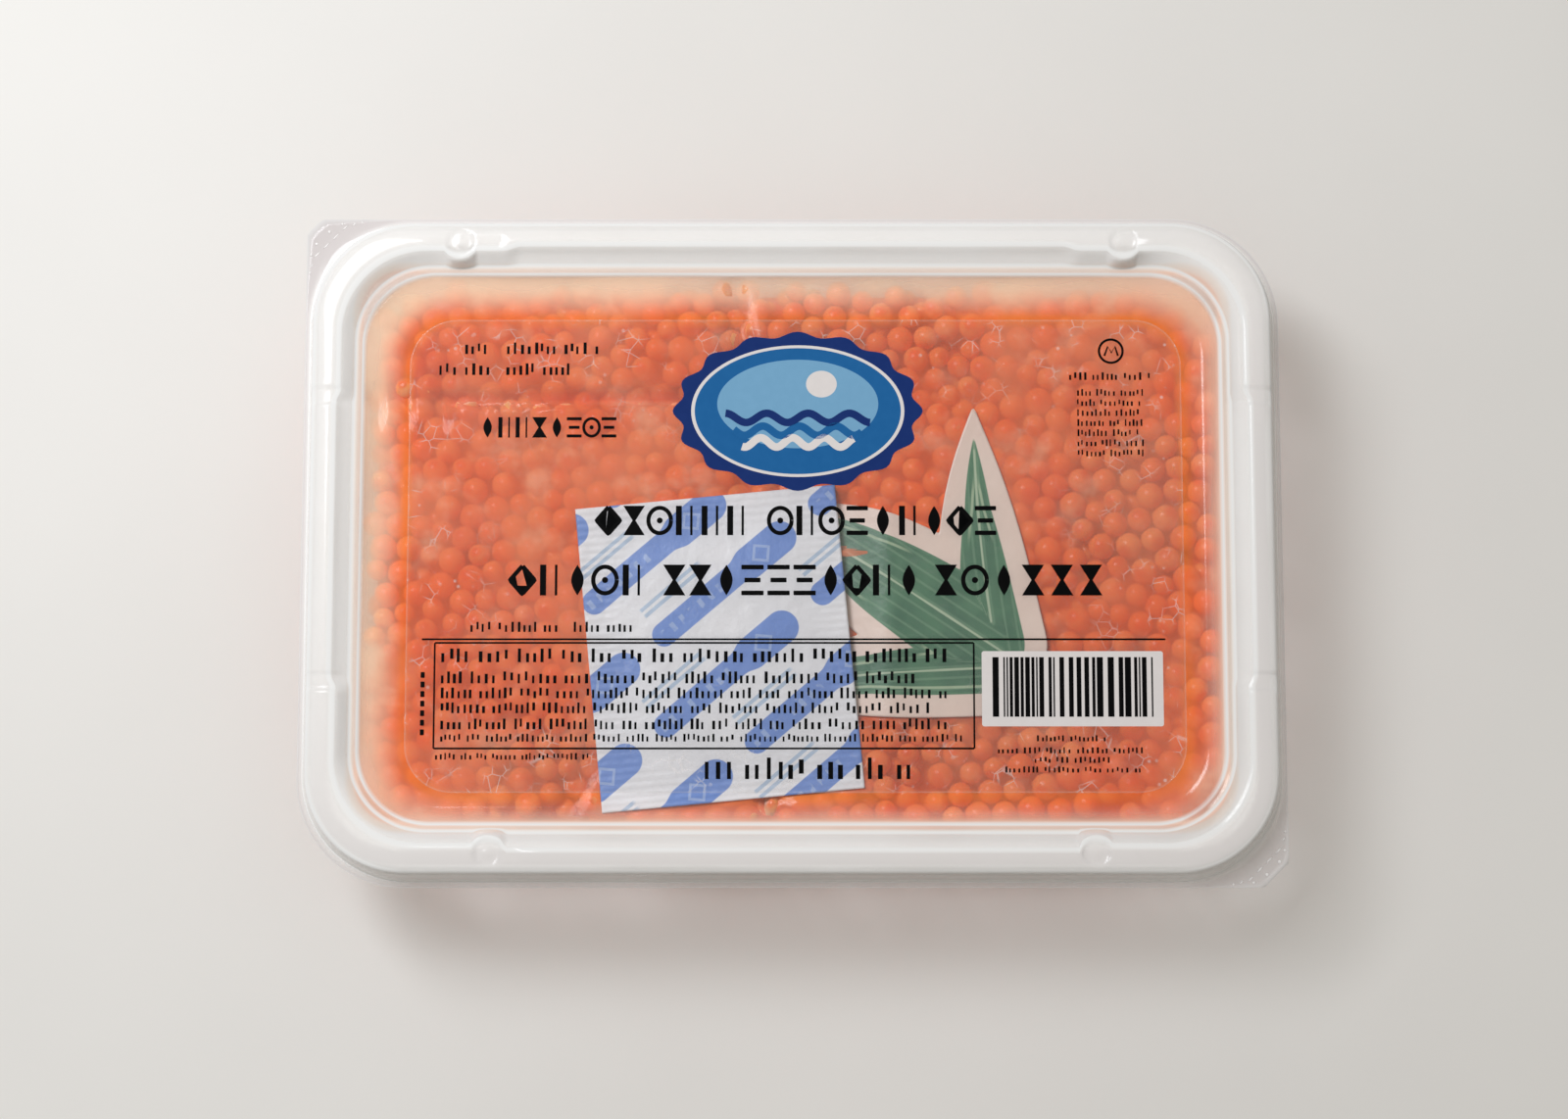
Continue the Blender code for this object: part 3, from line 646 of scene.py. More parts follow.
def filled_tub(name, material, bottom, wall_gap, top_of, wall_steps):
    """A closed body inside the tub: a flat foot, the leaning wall, and a top that is the wall's outline
    drawn in, with its height from top_of(x, y)."""
    (foot_x, foot_y), (rim_x, rim_y) = [
        outline(tub_walk, inset + wall_gap, radius - wall_gap)
        for inset, radius in (wall_at(np.array([[bottom]])), wall_at(RIM_HEIGHT))
    ]
    share = np.linspace(0.0, 1.0, wall_steps)[:, None]
    wall_x, wall_y = foot_x + (rim_x - foot_x) * share, foot_y + (rim_y - foot_y) * share
    wall_z = bottom + (top_of(rim_x, rim_y) - bottom) * share
    top_x, top_y = drawn_in(rim_x, rim_y, LENGTH, WIDTH, np.linspace(1.0, 0.02, 60)[1:, None])
    x = np.vstack([wall_x, top_x])
    y = np.vstack([wall_y, top_y])
    thing = rings_object(name, x, y, np.vstack([wall_z, top_of(top_x, top_y)]), material, foot=True)
    past = past_label(x, y)
    on_wall = np.broadcast_to(np.arange(len(x))[:, None] < wall_steps - 1, x.shape)
    # The pale mist is painted stronger on the lamp's side: painted light.
    brine_mist_and_painted_light = s_step(past, 0.4, 6.8) * (0.08 + 0.92 * s_step(lit_side(x, y), 0.25, 0.7))
    set_values(thing, "brine_mist_and_painted_light", np.where(on_wall, 0.0, brine_mist_and_painted_light))
    set_values(thing, "on_wall", on_wall)
    set_values(thing, "wet_line", s_step(past, -0.9, 0.0) * (1 - s_step(past, 0.7, 2.4)))
    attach(thing, "root")
    return thing


core_finish, start = new_material("deep_roe")
deep = start.noise(230.0, 3.0).step(0.3, 0.7)
surface(start, {
    "Base Color": deep.between(linear(226, 84, 40), linear(244, 112, 62)),
    "Roughness": 0.35,
}, start.noise(260.0, 1.0), 0.001)
filled_tub(
    "roe_core", core_finish, CORE_FOOT, CORE_GAP, lambda x, y: np.full(np.shape(x), CORE_TOP), CORE_STEPS
)

brine_finish, start = new_material("orange_brine")
cloud = start.noise(60.0, 3.0).step(0.36, 0.64)
haze = start.noise(140.0, 3.0).step(0.5, 0.78)
brine_mist_and_painted_light, wet_line = start.value_of("brine_mist_and_painted_light"), start.value_of("wet_line")
patchy_line = wet_line * (0.45 + start.noise(55.0, 1.0).step(0.35, 0.6) * 0.55)
bare = start.noise(34.0, 2.0).step(0.5, 0.62)
colour = cloud.between(linear(255, 100, 26), linear(252, 128, 72))
deep = start.noise(50.0, 2.0).step(0.5, 0.7)
colour = (deep * 0.4).between(colour, linear(238, 84, 48))
colour = (haze * 0.5).between(colour, linear(255, 190, 152))
colour = patchy_line.between(colour, linear(255, 128, 26))
# Pale mist, painted stronger on the lamp's side as painted light.
colour = brine_mist_and_painted_light.between(colour, linear(255, 222, 186))
shown = 0.66 + cloud * 0.16 + haze * 0.16 - bare * 0.24 + wet_line * 0.12 + brine_mist_and_painted_light * 0.2
surface(start, {
    "Base Color": colour,
    "Roughness": 0.12,
    "IOR": 1.36,
}, shown=shown - start.value_of("on_wall") * 0.35)
brine = filled_tub(
    "roe_brine", brine_finish, BRINE_FOOT, -WALL_OVERLAP,
    lambda x, y: roe_level(x, y) + BRINE_RISE, BRINE_STEPS,
)

# The leaf sheet
# A thin plastic sheet, printed with three bamboo leaves on a white ground and cut out round them with a
# white margin. It is laid on the roe beside the sachet, and passes under it at the left.
LEAF_THICK = 0.3
LEAF_RINGS = 44
LEAF_DIRECTIONS = 640
LEAF_MIDDLE = (32.0, -16.0)


def printed_leaf():
    """Green print with a dark outline, a pale line inside it, and pale veins, on white plastic."""
    material, start = new_material("printed_leaf_sheet")
    inside = start.value_of("inside")
    across = start.value_of("across")
    grain = start.noise(160.0, 3.0)
    white = grain.between(linear(236, 208, 194), linear(244, 222, 208))
    green = grain.step(0.3, 0.7).between(linear(32, 100, 70), linear(62, 122, 86))
    stripes = (across * 3.4).maths("SINE").step(0.5, 1.0)
    green = (stripes * 0.22).between(green, linear(150, 186, 150))
    vein = 1 - (across.size() + start.noise(90.0, 1.0) * 0.25).step(0.22, 0.42)
    green = (vein * 0.75).between(green, linear(196, 212, 180))
    inner = inside.step(1.0, 1.2) * (1 - inside.step(1.45, 1.65)) * start.noise(60.0, 1.0).step(0.45, 0.55)
    green = (inner * 0.7).between(green, linear(188, 206, 170))
    rim = 1 - inside.step(0.35, 0.6)
    green = (rim * 0.7).between(green, linear(70, 128, 92))
    surface(start, {
        "Base Color": inside.step(0.0, 0.18).between(white, green),
        "Roughness": 0.38,
    }, start.noise(500.0, 2.0), 0.0001)
    return material


# The edge in each direction from the middle is the furthest place that is still on a blade.
angle = np.linspace(0, 2 * math.pi, LEAF_DIRECTIONS, endpoint=False)
out = np.linspace(0.0, 60.0, 1201)[:, None]
reached = inside_leaf(LEAF_MIDDLE[0] + out * np.cos(angle), LEAF_MIDDLE[1] + out * np.sin(angle)) > 0
edge = (out * reached).max(0)
edge = (np.roll(edge, 1) + 2 * edge + np.roll(edge, -1)) / 4
ring = np.linspace(1.0, 0.02, LEAF_RINGS)[:, None]
x = LEAF_MIDDLE[0] + ring * edge * np.cos(angle)
y = LEAF_MIDDLE[1] + ring * edge * np.sin(angle)
leaf = rings_object("leaf_sheet", x, y, leaf_height(x, y), printed_leaf())
_, asides, greens = np.stack([np.stack(on_blade(x, y, blade)) for blade in LEAF_BLADES], axis=1)
owner = greens.argmax(0)[None]
set_values(leaf, "inside", greens.max(0))
set_values(leaf, "across", np.take_along_axis(asides, owner, 0)[0])
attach(leaf, "root")
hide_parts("leaf")
sheet_wall(leaf, LEAF_THICK, 0.0)

# The sachet
# A small flat pillow of white film-faced paper, sealed round its edges, with a print of light blue slanted
# bands. It lies on the roe just under the lid.
SACHET_COLUMNS = 120
SACHET_ROWS = 140
BAND_SLANT = math.radians(35.0)
BAND_SPACING = 11.86
BAND_START = 7.6
BAND_HALF = 2.05
BAND_REPEAT = 34.4
BAND_LENGTH = 29.5
CRIMP_SPACING = 1.3


def banded_paper():
    """White paper with blue bands: on slanted lines, round-ended bars that start at another place on each
    line and are wider towards their upper end, with pale ticks and a lozenge in them and two thin
    streaks beside them."""
    material, start = new_material("banded_sachet_paper")
    spot = start.add("ShaderNodeUVMap", {"uv_map": "sachet"}, {})
    x, y = spot.split(0), spot.split(1)
    along, across = turned(x, y, BAND_SLANT)
    across = across - BAND_START
    line = (across / BAND_SPACING).maths("ROUND")
    off = across - line * BAND_SPACING
    part = (along - 7.1 - line * 2.1 + line * line * 7.5) / BAND_REPEAT
    from_middle = (part - part.maths("ROUND")) * BAND_REPEAT
    past_end = from_middle.size() - (BAND_LENGTH / 2 - BAND_HALF)
    past_end = past_end.maths("MAXIMUM", past_end, 0.0)
    from_axis = (past_end * past_end + off * off).maths("SQRT")
    from_rim = from_axis - from_middle.step(3.0, 6.0) * 0.8 - BAND_HALF
    band = 1 - from_rim.step(-0.1, 0.1)
    tick = (along * 3.1).maths("SINE").step(0.0, 0.5) * start.noise(420.0, 1.0).step(0.42, 0.5)
    marks = tick * (1 - off.size().step(0.7, 0.9)) * (1 - from_middle.step(1.5, 2.0))
    lozenge = ((from_middle - 8.6).size() + off.size() - 1.7).size()
    marks = (marks + 1 - lozenge.step(0.25, 0.4)) * band
    streak = 1 - ((off - 5.0).size() - 0.6).size().step(0.25, 0.4)
    streak = streak * (1 - from_middle.step(-1.0, 0.0)) * (1 - (from_middle * -1).step(13.0, 13.4))
    paper = start.noise(150.0, 4.0).between(linear(238, 237, 240), linear(248, 246, 249))
    colour = (streak * 0.55).between(paper, linear(110, 165, 210))
    colour = (band * 0.95).between(colour, linear(94, 138, 216))
    colour = (marks * 0.5).between(colour, linear(190, 208, 238))
    surface(start, {"Base Color": colour, "Roughness": 0.42}, start.noise(420.0, 4.0), 0.00025)
    return material


across, along = np.meshgrid(np.linspace(-1, 1, SACHET_COLUMNS + 1), np.linspace(-1, 1, SACHET_ROWS + 1))
half = sachet_half_thick(across, along)
seal = 1 - s_step(half, 0.16, 0.4)
crimp = 0.05 * np.sin(along * SACHET_SIZE[1] / 2 * 2 * math.pi / CRIMP_SPACING) * seal
crease = 0.12 * (hills(across * 22, along * 26, 13.0) - 0.5) * s_step(half, 0.2, 0.5)
right, back = across * SACHET_SIZE[0] / 2, along * SACHET_SIZE[1] / 2
x, y = turned(right, back, -SACHET_TURN)
x, y = SACHET_CENTRE[0] + x, SACHET_CENTRE[1] + y
middle = SACHET_TOP - SACHET_THICK / 2
upper, lower = [
    np.stack([x, y, middle + side * half + crimp + crease], axis=-1).reshape(-1, 3) for side in (1, -1)
]
count = len(upper)
wide = SACHET_COLUMNS + 1
cell = (np.arange(SACHET_ROWS)[:, None] * wide + np.arange(SACHET_COLUMNS)).ravel()
top_faces = np.stack([cell, cell + 1, cell + wide + 1, cell + wide], axis=1)
rim = np.concatenate([
    np.arange(SACHET_COLUMNS), np.arange(SACHET_ROWS) * wide + SACHET_COLUMNS,
    SACHET_ROWS * wide + np.arange(SACHET_COLUMNS, 0, -1), np.arange(SACHET_ROWS, 0, -1) * wide,
])
ahead = np.roll(rim, -1)
faces = np.vstack([
    top_faces, top_faces[:, ::-1] + count, np.stack([ahead, rim, rim + count, ahead + count], axis=1)
])
sachet = new_object("sachet_pillow", np.vstack([upper, lower]), faces.tolist(), banded_paper())
flat = np.tile(np.stack([right.ravel(), back.ravel()], axis=1), (2, 1))
corner_points = np.empty(len(sachet.data.loops), np.int32)
sachet.data.loops.foreach_get("vertex_index", corner_points)
corner_places = flat[corner_points].astype(np.float32).ravel()
sachet.data.uv_layers.new(name="sachet").data.foreach_set("uv", corner_places)
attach(sachet, "root")
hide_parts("sachet")

# The lid
# Thermoformed from the same clear sheet: a flange with two embossed lifting tabs, a raised ring that grips
# the tub's bead, with two vents across each short side and round recesses near its corners, a ledge, and
# the sunken panel. Its inner slopes are gentle, and catch the lamp's light.
# inset, height, corner radius, share of the ring's inner shape, share of the vents' depth
LID_PROFILE = (
    (0.9, 21.0, 18.0, 0.0, 0.0), (1.9, 26.3, 17.0, 0.0, 0.5), (2.6, 27.15, 16.4, 0.0, 1.0),
    (3.7, 27.7, 15.5, 0.0, 1.0), (4.9, 28.0, 14.9, 0.5, 1.0), (5.7, 28.0, 14.5, 1.0, 1.0),
    (6.6, 27.5, 14.0, 0.95, 0.6), (8.9, 25.0, 12.9, 0.3, 0.0), (9.6, 24.75, 12.6, 0.05, 0.0),
    (10.2, 24.4, 12.3, 0.0, 0.0), (12.6, 21.8, 11.0, 0.0, 0.0), (13.4, 21.5, 10.3, 0.0, 0.0),
    (14.2, 21.5, 9.6, 0.0, 0.0),
)
LID_ROW_STEP = 0.42
LID_SIDES = (58.5, 32.5)
LID_SIDE_STEP = 3.5
FLANGE_ROWS = 5
FLANGE_RADIUS = 18.0
FLANGE_HEIGHT = 21.0
RING_HEIGHT = 28.0
PANEL_HEIGHT = 21.5
PANEL_WAVE = 0.07
PANEL_ROWS = (0.985, 0.97, 0.95, 0.93, 0.905, 0.88, 0.85, 0.8, 0.7, 0.55, 0.35, 0.15, 0.03)
# what a straight cut takes off the point of each tab
BACK_TAB_CUT = 2.5
FRONT_TAB_CUT = 4.2
RING_WIDER = 0.75
VENTS = (25.0, -23.0)
VENT_HALF = 1.1
VENT_SLOPE = 0.5
VENT_DEPTH = 0.4
BUTTON_RADIUS = 2.8
BUTTON_BULGE = 2.1
BUTTON_DEPTH = 0.75
BUTTON_EDGE = (1.95, 2.6)
BUTTON_CROWN = 0.3
CROWN_EDGE = (0.2, 1.6)
BUTTON_INSET = 5.4
BACK_BUTTON = 55.8
FRONT_BUTTON = 50.0
BACK_STEP = 47.0
FRONT_STEP = 50.0
POCKET_DEPTH = 0.25
POCKET_EDGE = (1.8, 2.3)
POCKET_INSET = 5.0
# y side, from x, to x
POCKETS = ((1, -55.8, -50.2), (-1, -50.0, -46.6), (-1, 50.0, 54.2), (1, 55.8, 58.2))
NEAR_BUTTONS = ((-58.5, -44.0), (44.0, 58.5))
NEAR_VENTS = ((21.0, 29.0), (-27.0, -19.0))
# inset and milkiness, and the insets of the sharpest bends
LID_MILK = ((0.0, 0.8), (1.0, 0.8), (2.0, 1.0), (10.5, 1.0), (11.3, 0.2), (14.0, 0.0))
LID_BENDS = (0.9, 2.3, 5.9, 8.9, 10.3)
# How strongly the painted highlight along the cut edge shows.
CUT_EDGE_PAINTED_HIGHLIGHT = 0.6

lid_walk = once_round(
    side_places(LID_SIDES[0], LID_SIDE_STEP, 0.45, NEAR_BUTTONS),
    side_places(LID_SIDES[1], LID_SIDE_STEP, 0.4, NEAR_VENTS), corner_steps=38,
)
sign_x, sign_y, out_x, out_y, fixed_x, fixed_y = lid_walk.T
on_side = ~np.isnan(fixed_y)
on_back = ~np.isnan(fixed_x) & (sign_y > 0)
on_front = ~np.isnan(fixed_x) & (sign_y < 0)
on_tab = np.isnan(fixed_x) & np.isnan(fixed_y) & (sign_x * sign_y < 0)
along_side = np.nan_to_num(np.where(on_side, fixed_y, fixed_x))
past_front_vent, past_back_vent = [s_step(along_side, vent - 1, vent + 1) for vent in VENTS[::-1]]
between_vents = past_front_vent * (1 - past_back_vent)
ring_wider = np.where(on_side, RING_WIDER * (1 - between_vents), RING_WIDER)
for here, button, step in ((on_back, BACK_BUTTON, BACK_STEP), (on_front, FRONT_BUTTON, FRONT_STEP)):
    wide = RING_WIDER * s_step(np.abs(along_side), step - 1.5, step + 1.5)
    from_button = np.clip(np.abs(np.abs(along_side) - button) / BUTTON_RADIUS, 0, 1)
    bulge = BUTTON_BULGE * np.sqrt(1 - from_button**2)
    ring_wider = np.where(here, np.maximum(wide, bulge), ring_wider)

lid_profile = rounded_profile(LID_PROFILE, LID_ROW_STEP)
# The rows of the flat flange run from the outline with its tabs to the foot of the ring. A tab reaches to
# the square corner, less its straight cut.
flange_share = np.linspace(0.0, 1.0, FLANGE_ROWS, endpoint=False)[:, None]
cut = np.where(sign_y > 0, BACK_TAB_CUT, FRONT_TAB_CUT)
to_straight = FLANGE_RADIUS / np.maximum(np.abs(out_x), np.abs(out_y))
to_cut = (2 * FLANGE_RADIUS - cut) / (np.abs(out_x) + np.abs(out_y))
reach = np.where(on_tab, np.minimum(to_straight, to_cut), FLANGE_RADIUS)
edge_x = np.where(np.isnan(fixed_x), sign_x * (LENGTH / 2 - FLANGE_RADIUS) + reach * out_x, fixed_x)
edge_y = np.where(np.isnan(fixed_y), sign_y * (WIDTH / 2 - FLANGE_RADIUS) + reach * out_y, fixed_y)
foot_x, foot_y = outline(lid_walk, LID_PROFILE[0][0], FLANGE_RADIUS)
ring_x, ring_y = outline(
    lid_walk, lid_profile[:, 0:1], lid_profile[:, 2:3], lid_profile[:, 3:4] * ring_wider
)
x = np.vstack([edge_x + (foot_x - edge_x) * flange_share, ring_x])
y = np.vstack([edge_y + (foot_y - edge_y) * flange_share, ring_y])
nearest_vent = np.min([np.abs(along_side - vent) for vent in VENTS], axis=0)
vent_drop = np.where(on_side, VENT_DEPTH * (1 - s_step(nearest_vent, VENT_HALF, VENT_HALF + VENT_SLOPE)), 0.0)
ring_z = lid_profile[:, 1:2] - lid_profile[:, 4:5] * vent_drop
z = np.vstack([np.full((FLANGE_ROWS, len(lid_walk)), FLANGE_HEIGHT), ring_z])
for sign, button in ((1, BACK_BUTTON), (-1, FRONT_BUTTON)):
    away = np.hypot(np.abs(x) - button, y - sign * (WIDTH / 2 - BUTTON_INSET))
    bowl = RING_HEIGHT - BUTTON_DEPTH * (1 - s_step(away, *BUTTON_EDGE))
    bowl = bowl + BUTTON_CROWN * (1 - s_step(away, *CROWN_EDGE))
    z = np.where(away < BUTTON_EDGE[1], np.minimum(z, bowl), z)
for side, begin, end in POCKETS:
    past = np.abs(x - (begin + end) / 2) - (end - begin) / 2
    away = np.hypot(np.maximum(past, 0), y - side * (WIDTH / 2 - POCKET_INSET))
    pocket = RING_HEIGHT - POCKET_DEPTH * (1 - s_step(away, *POCKET_EDGE))
    z = np.where(away < POCKET_EDGE[1], np.minimum(z, pocket), z)

# The panel is the last row drawn in towards the lid's middle line, and waves a very little.
panel_share = np.array(PANEL_ROWS)[:, None]
panel_x, panel_y = drawn_in(x[-1], y[-1], LENGTH, WIDTH, panel_share)
panel_z = PANEL_HEIGHT - PANEL_WAVE * hills(panel_x, panel_y, 31.0) * (1 - panel_share) ** 0.5
x, y, z = np.vstack([x, panel_x]), np.vstack([y, panel_y]), np.vstack([z, panel_z])
lid_plastic = clear_plastic("clear_lid_sheet", bent_milk=0.72, edge_milk=0.08)
lid = rings_object("lid_sheet", x, y, z, lid_plastic)

# The sheet is milky as far as the ledge, but its outer wall is clearer on the side away from the lamp. The
# food's light on the ledge is a painted warm glow. The tabs are greyer, and the same grey is painted as shade
# on the ring's top on the side away from the lamp.
inward = depth_inside(x, y, 0.0, FLANGE_RADIUS)
lit = s_step(lit_side(x, y), 0.3, 0.75)
bent = np.interp(inward + 0.7 * lit, *zip(*LID_MILK))
set_values(lid, "bent", bent * (1 - 0.75 * (1 - lit) * (1 - s_step(inward, 2.2, 3.0))))
# Painted light: the food's warm glow on the ledge, held back from the foot of the slope away from the lamp.
set_values(lid, "painted_food_light", s_step(inward, 8.4, 9.3) * (1 - s_step(inward, 10.0, 10.4) * (1 - lit)))
ring_top = s_step(inward, 3.0, 3.6) * (1 - s_step(inward, 5.6, 6.4))
# Grey on the tabs, and painted shade on the ring's top on the side away from the lamp.
set_values(lid, "grey_tabs_and_painted_shade", np.where(inward < 1.2, 1 - s_step(inward, 0.0, 1.2), 0.5 * ring_top * (1 - lit)))
# Fine white lines where it is bent most, and at its cut edge, are painted highlights.
from_bend = np.min([np.abs(lid_profile[:, 0:1] - bend) for bend in LID_BENDS], axis=0)
painted_highlight_lines = np.zeros(x.shape)
painted_highlight_lines[0] = CUT_EDGE_PAINTED_HIGHLIGHT
painted_highlight_lines[FLANGE_ROWS:FLANGE_ROWS + len(lid_profile)] = 1 - s_step(from_bend, 0.12, 0.42)
set_values(lid, "bend", painted_highlight_lines)
# Mist lies on the panel's edge. It is painted thicker on the lamp's side, as painted light, with a painted
# glare in the corners and painted light along the foot of the shaded slope; its peach colour is a painted
# glow of the food's light.
patchy = 0.75 + 0.5 * hills(x, y, 17.0)
mist_and_painted_glow = (1 - s_step(inward + 1.2 * hills(x, y, 6.0), 13.5, 18.5)) * s_step(inward, 9.2, 10.8)
painted_corner_glare = s_step(np.abs(x) / LENGTH + np.abs(y) / WIDTH, 0.7, 0.77)
painted_light_along_wall = s_step(inward, 9.8, 10.6) * (1 - s_step(inward, 10.8, 12.8)) * (1 - lit)
set_values(lid, "mist_and_painted_glow", mist_and_painted_glow * patchy * (0.03 + 0.19 * lit + 0.12 * painted_corner_glare) + 0.3 * painted_light_along_wall)
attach(lid, "root")
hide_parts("lid")
sheet_wall(lid, SHEET, far_finish=far_plastic)

# The lifting tabs' marks
# Short dashes and dots pressed up from the tabs, which keep fingers from slipping. They are the same
# plastic, and stand 0.16 mm proud. Their white, whiter than the tabs round them, is a painted highlight.
# from the corner circle's middle, from its diagonal, half length, half width
TAB_MARKS = (
    (19.9, -3.1, 0.75, 0.16), (19.9, -0.9, 0.75, 0.16), (19.9, 1.3, 0.75, 0.16), (19.9, 3.5, 0.6, 0.16),
    (21.3, -1.9, 0.3, 0.3), (21.3, 1.1, 0.3, 0.3), (20.7, 3.6, 0.25, 0.25), (19.2, -5.1, 0.4, 0.14),
    (19.2, 5.0, 0.4, 0.14), (20.6, -3.9, 0.25, 0.25), (18.5, -6.2, 0.22, 0.22), (18.5, 6.2, 0.22, 0.22),
)
# share of the mark's size and height of its rings of points
MARK_RINGS = ((1.0, 20.98), (0.72, 21.12), (0.4, 21.16))
MARK_POINTS = 16
MARK_TURN = math.radians(45.0)

# The marks' white is a painted highlight.
marks_painted_highlight_finish, start = new_material("embossed_marks")
see_through(start, (1.0, 0.98, 0.96, 1.0), start.noise(300.0, 1.0) * 0.3 + 0.65, flatter=4.0)


def joined(parts):
    """All the points and all the faces of several (points, faces) pairs."""
    points, faces, first = [], [], 0
    for part_points, part_faces in parts:
        points.append(part_points)
        faces += [[number + first for number in face] for face in part_faces]
        first += len(part_points)
    return np.vstack(points), faces


def low_mound(x, y, half_long, half_wide):
    """An oval mound: a rim of points on the sheet and two raised rings within it."""
    around = np.linspace(0, 2 * math.pi, MARK_POINTS, endpoint=False)
    points = []
    for share, height in MARK_RINGS:
        along, across = half_long * share * np.cos(around), half_wide * share * np.sin(around)
        right, back = turned(along, across, -MARK_TURN)
        points.append(np.stack([x + right, y + back, np.full(MARK_POINTS, height)], axis=1))
    return np.vstack(points), ring_faces(len(MARK_RINGS), MARK_POINTS, foot=True)


mounds = []
for sign in (1, -1):
    middle = np.array([-sign * (LENGTH / 2 - FLANGE_RADIUS), sign * (WIDTH / 2 - FLANGE_RADIUS)])
    out = np.array([-sign, sign]) / math.sqrt(2)
    beside = np.array([sign, sign]) / math.sqrt(2)
    for away, aside, half_long, half_wide in TAB_MARKS:
        mounds.append(low_mound(*(middle + out * away + beside * aside), half_long, half_wide))
marks = new_object("tab_marks", *joined(mounds), marks_painted_highlight_finish)
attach(marks, "root")

# The label
# A clear sticky film with round corners, a little hazy, with fine crinkles and bubbles of trapped air near
# its edge.
LABEL_TOP = 21.85
LABEL_THICK = 0.15
LABEL_ROWS = np.concatenate([[1.0, 0.997, 0.99], np.linspace(0.97, 0.02, 36)])[:, None]


def hazy_film():
    """Clear film: thin milk, white crinkle lines and bubbles that are thickest near the edge."""
    material, start = new_material("clear_label_film")
    from_edge = start.value_of("from_edge")
    near_edge = 1 - from_edge.step(1.0, 26.0)
    lines = start.add("ShaderNodeTexVoronoi", {"feature": "DISTANCE_TO_EDGE"}, {
        "Vector": start.place(), "Scale": 480.0, "Randomness": 1.0
    })
    patches = start.noise(240.0, 1.0).step(0.54, 0.7)
    crinkle = (1 - lines.step(0.01, 0.06)) * patches * (0.12 + near_edge * 0.88)
    dots = start.add("ShaderNodeTexVoronoi", {}, {"Vector": start.place(), "Scale": 520.0})
    bubbles = (1 - dots.step(0.1, 0.22)) * start.noise(150.0, 1.0).step(0.55, 0.7) * near_edge
    marks = crinkle * 0.3 + bubbles * 0.35
    haze = 0.012 + start.noise(60.0, 2.0) * 0.035
    rim = (1 - from_edge.step(0.1, 0.4)) * 0.1
    see_through(start, (0.98, 0.92, 0.88, 1.0), haze + marks + rim)
    return material


half_x, half_y = LABEL_SIZE[0] / 2 - LABEL_RADIUS, LABEL_SIZE[1] / 2 - LABEL_RADIUS
long_side = np.linspace(-57, 57, 39) * half_x / 57.5
short_side = np.linspace(-32, 32, 22) * half_y / 32.5
label_walk = once_round(long_side, short_side, corner_steps=12)
edge_x, edge_y = outline(label_walk, 0.0, LABEL_RADIUS, 0.0, *LABEL_SIZE)
x, y = drawn_in(edge_x, edge_y, *LABEL_SIZE, LABEL_ROWS)
x, y = x + LABEL_CENTRE[0], y + LABEL_CENTRE[1]
film = rings_object("label_film", x, y, LABEL_TOP, hazy_film())
set_values(film, "from_edge", -past_label(x, y))
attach(film, "root")
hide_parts("label")
sheet_wall(film, LABEL_THICK, far_finish=inner_plastic("clear_film_far_side", (0.95, 0.9, 0.88, 1.0)))

# The print
# Black print stands for the label's words as plain strokes and bars, with rules, a ruled frame, a small
# ring mark, a white patch of upright bars, and a blue badge of waves. Ink is a thin coat on the film. No
# word is spelled.
INK = 0.03
INKS = {
    "black": (3, 3, 4), "white": (228, 222, 220), "dark_blue": (25, 50, 112), "mid_blue": (32, 100, 160),
    "pale_blue": (120, 170, 205),
}
INK_WEAR = 12
plate_sets = {}


def add_plate(ink, corners, level=0):
    """One flat closed shape of ink: its outline, and the same outline a coat higher, level coats above the
    film."""
    corners = np.asarray(corners, float)
    base = LABEL_TOP + INK * level
    rings = [np.column_stack([corners, np.full(len(corners), height)]) for height in (base, base + INK)]
    plate_sets.setdefault(ink, []).append((np.vstack(rings), ring_faces(2, len(corners), foot=True)))


def add_block(ink, left, right, low, high, level=0):
    """A square-cornered block of ink."""
    add_plate(ink, [(left, low), (right, low), (right, high), (left, high)], level)


def add_bar(ink, left, right, middle, height, level=0, bow=0.3):
    """A bar with rounded ends: corners cut at bow of its height."""
    cut = min(bow * height, (right - left) / 3)
    top, low = middle + height / 2, middle - height / 2
    add_plate(ink, [
        (left + cut, low), (right - cut, low), (right, low + cut), (right, top - cut),
        (right - cut, top), (left + cut, top), (left, top - cut), (left, low + cut),
    ], level)


def add_words(ink, left, right, middle, height, pitch=0.8):
    """A line of small print: upright ticks of mixed widths and heights, some raised, broken into words."""
    place = left
    foot = middle - height / 2
    while place < right:
        for number in range(int(draw.integers(3, 9))):
            wide = pitch * draw.uniform(0.34, 0.5)
            tall = height * draw.choice([0.66, 0.66, 0.8, 1.0])
            low = foot if draw.uniform() < 0.8 else foot + 0.25 * height
            if place + wide < right:
                add_block(ink, place, place + wide, low, min(low + tall, foot + height))
            place += pitch * draw.uniform(0.85, 1.15)
        place += 0.8 * pitch


def add_stroke(ink, points, width, level=0):
    """A pen stroke of one width along a path: each side is the path moved half the width along its normal."""
    path = np.asarray(points, float)
    run = np.gradient(path, axis=0)
    run /= np.linalg.norm(run, axis=1)[:, None]
    normal = np.stack([-run[:, 1], run[:, 0]], axis=1) * width / 2
    add_plate(ink, np.vstack([path - normal, (path + normal)[::-1]]), level)


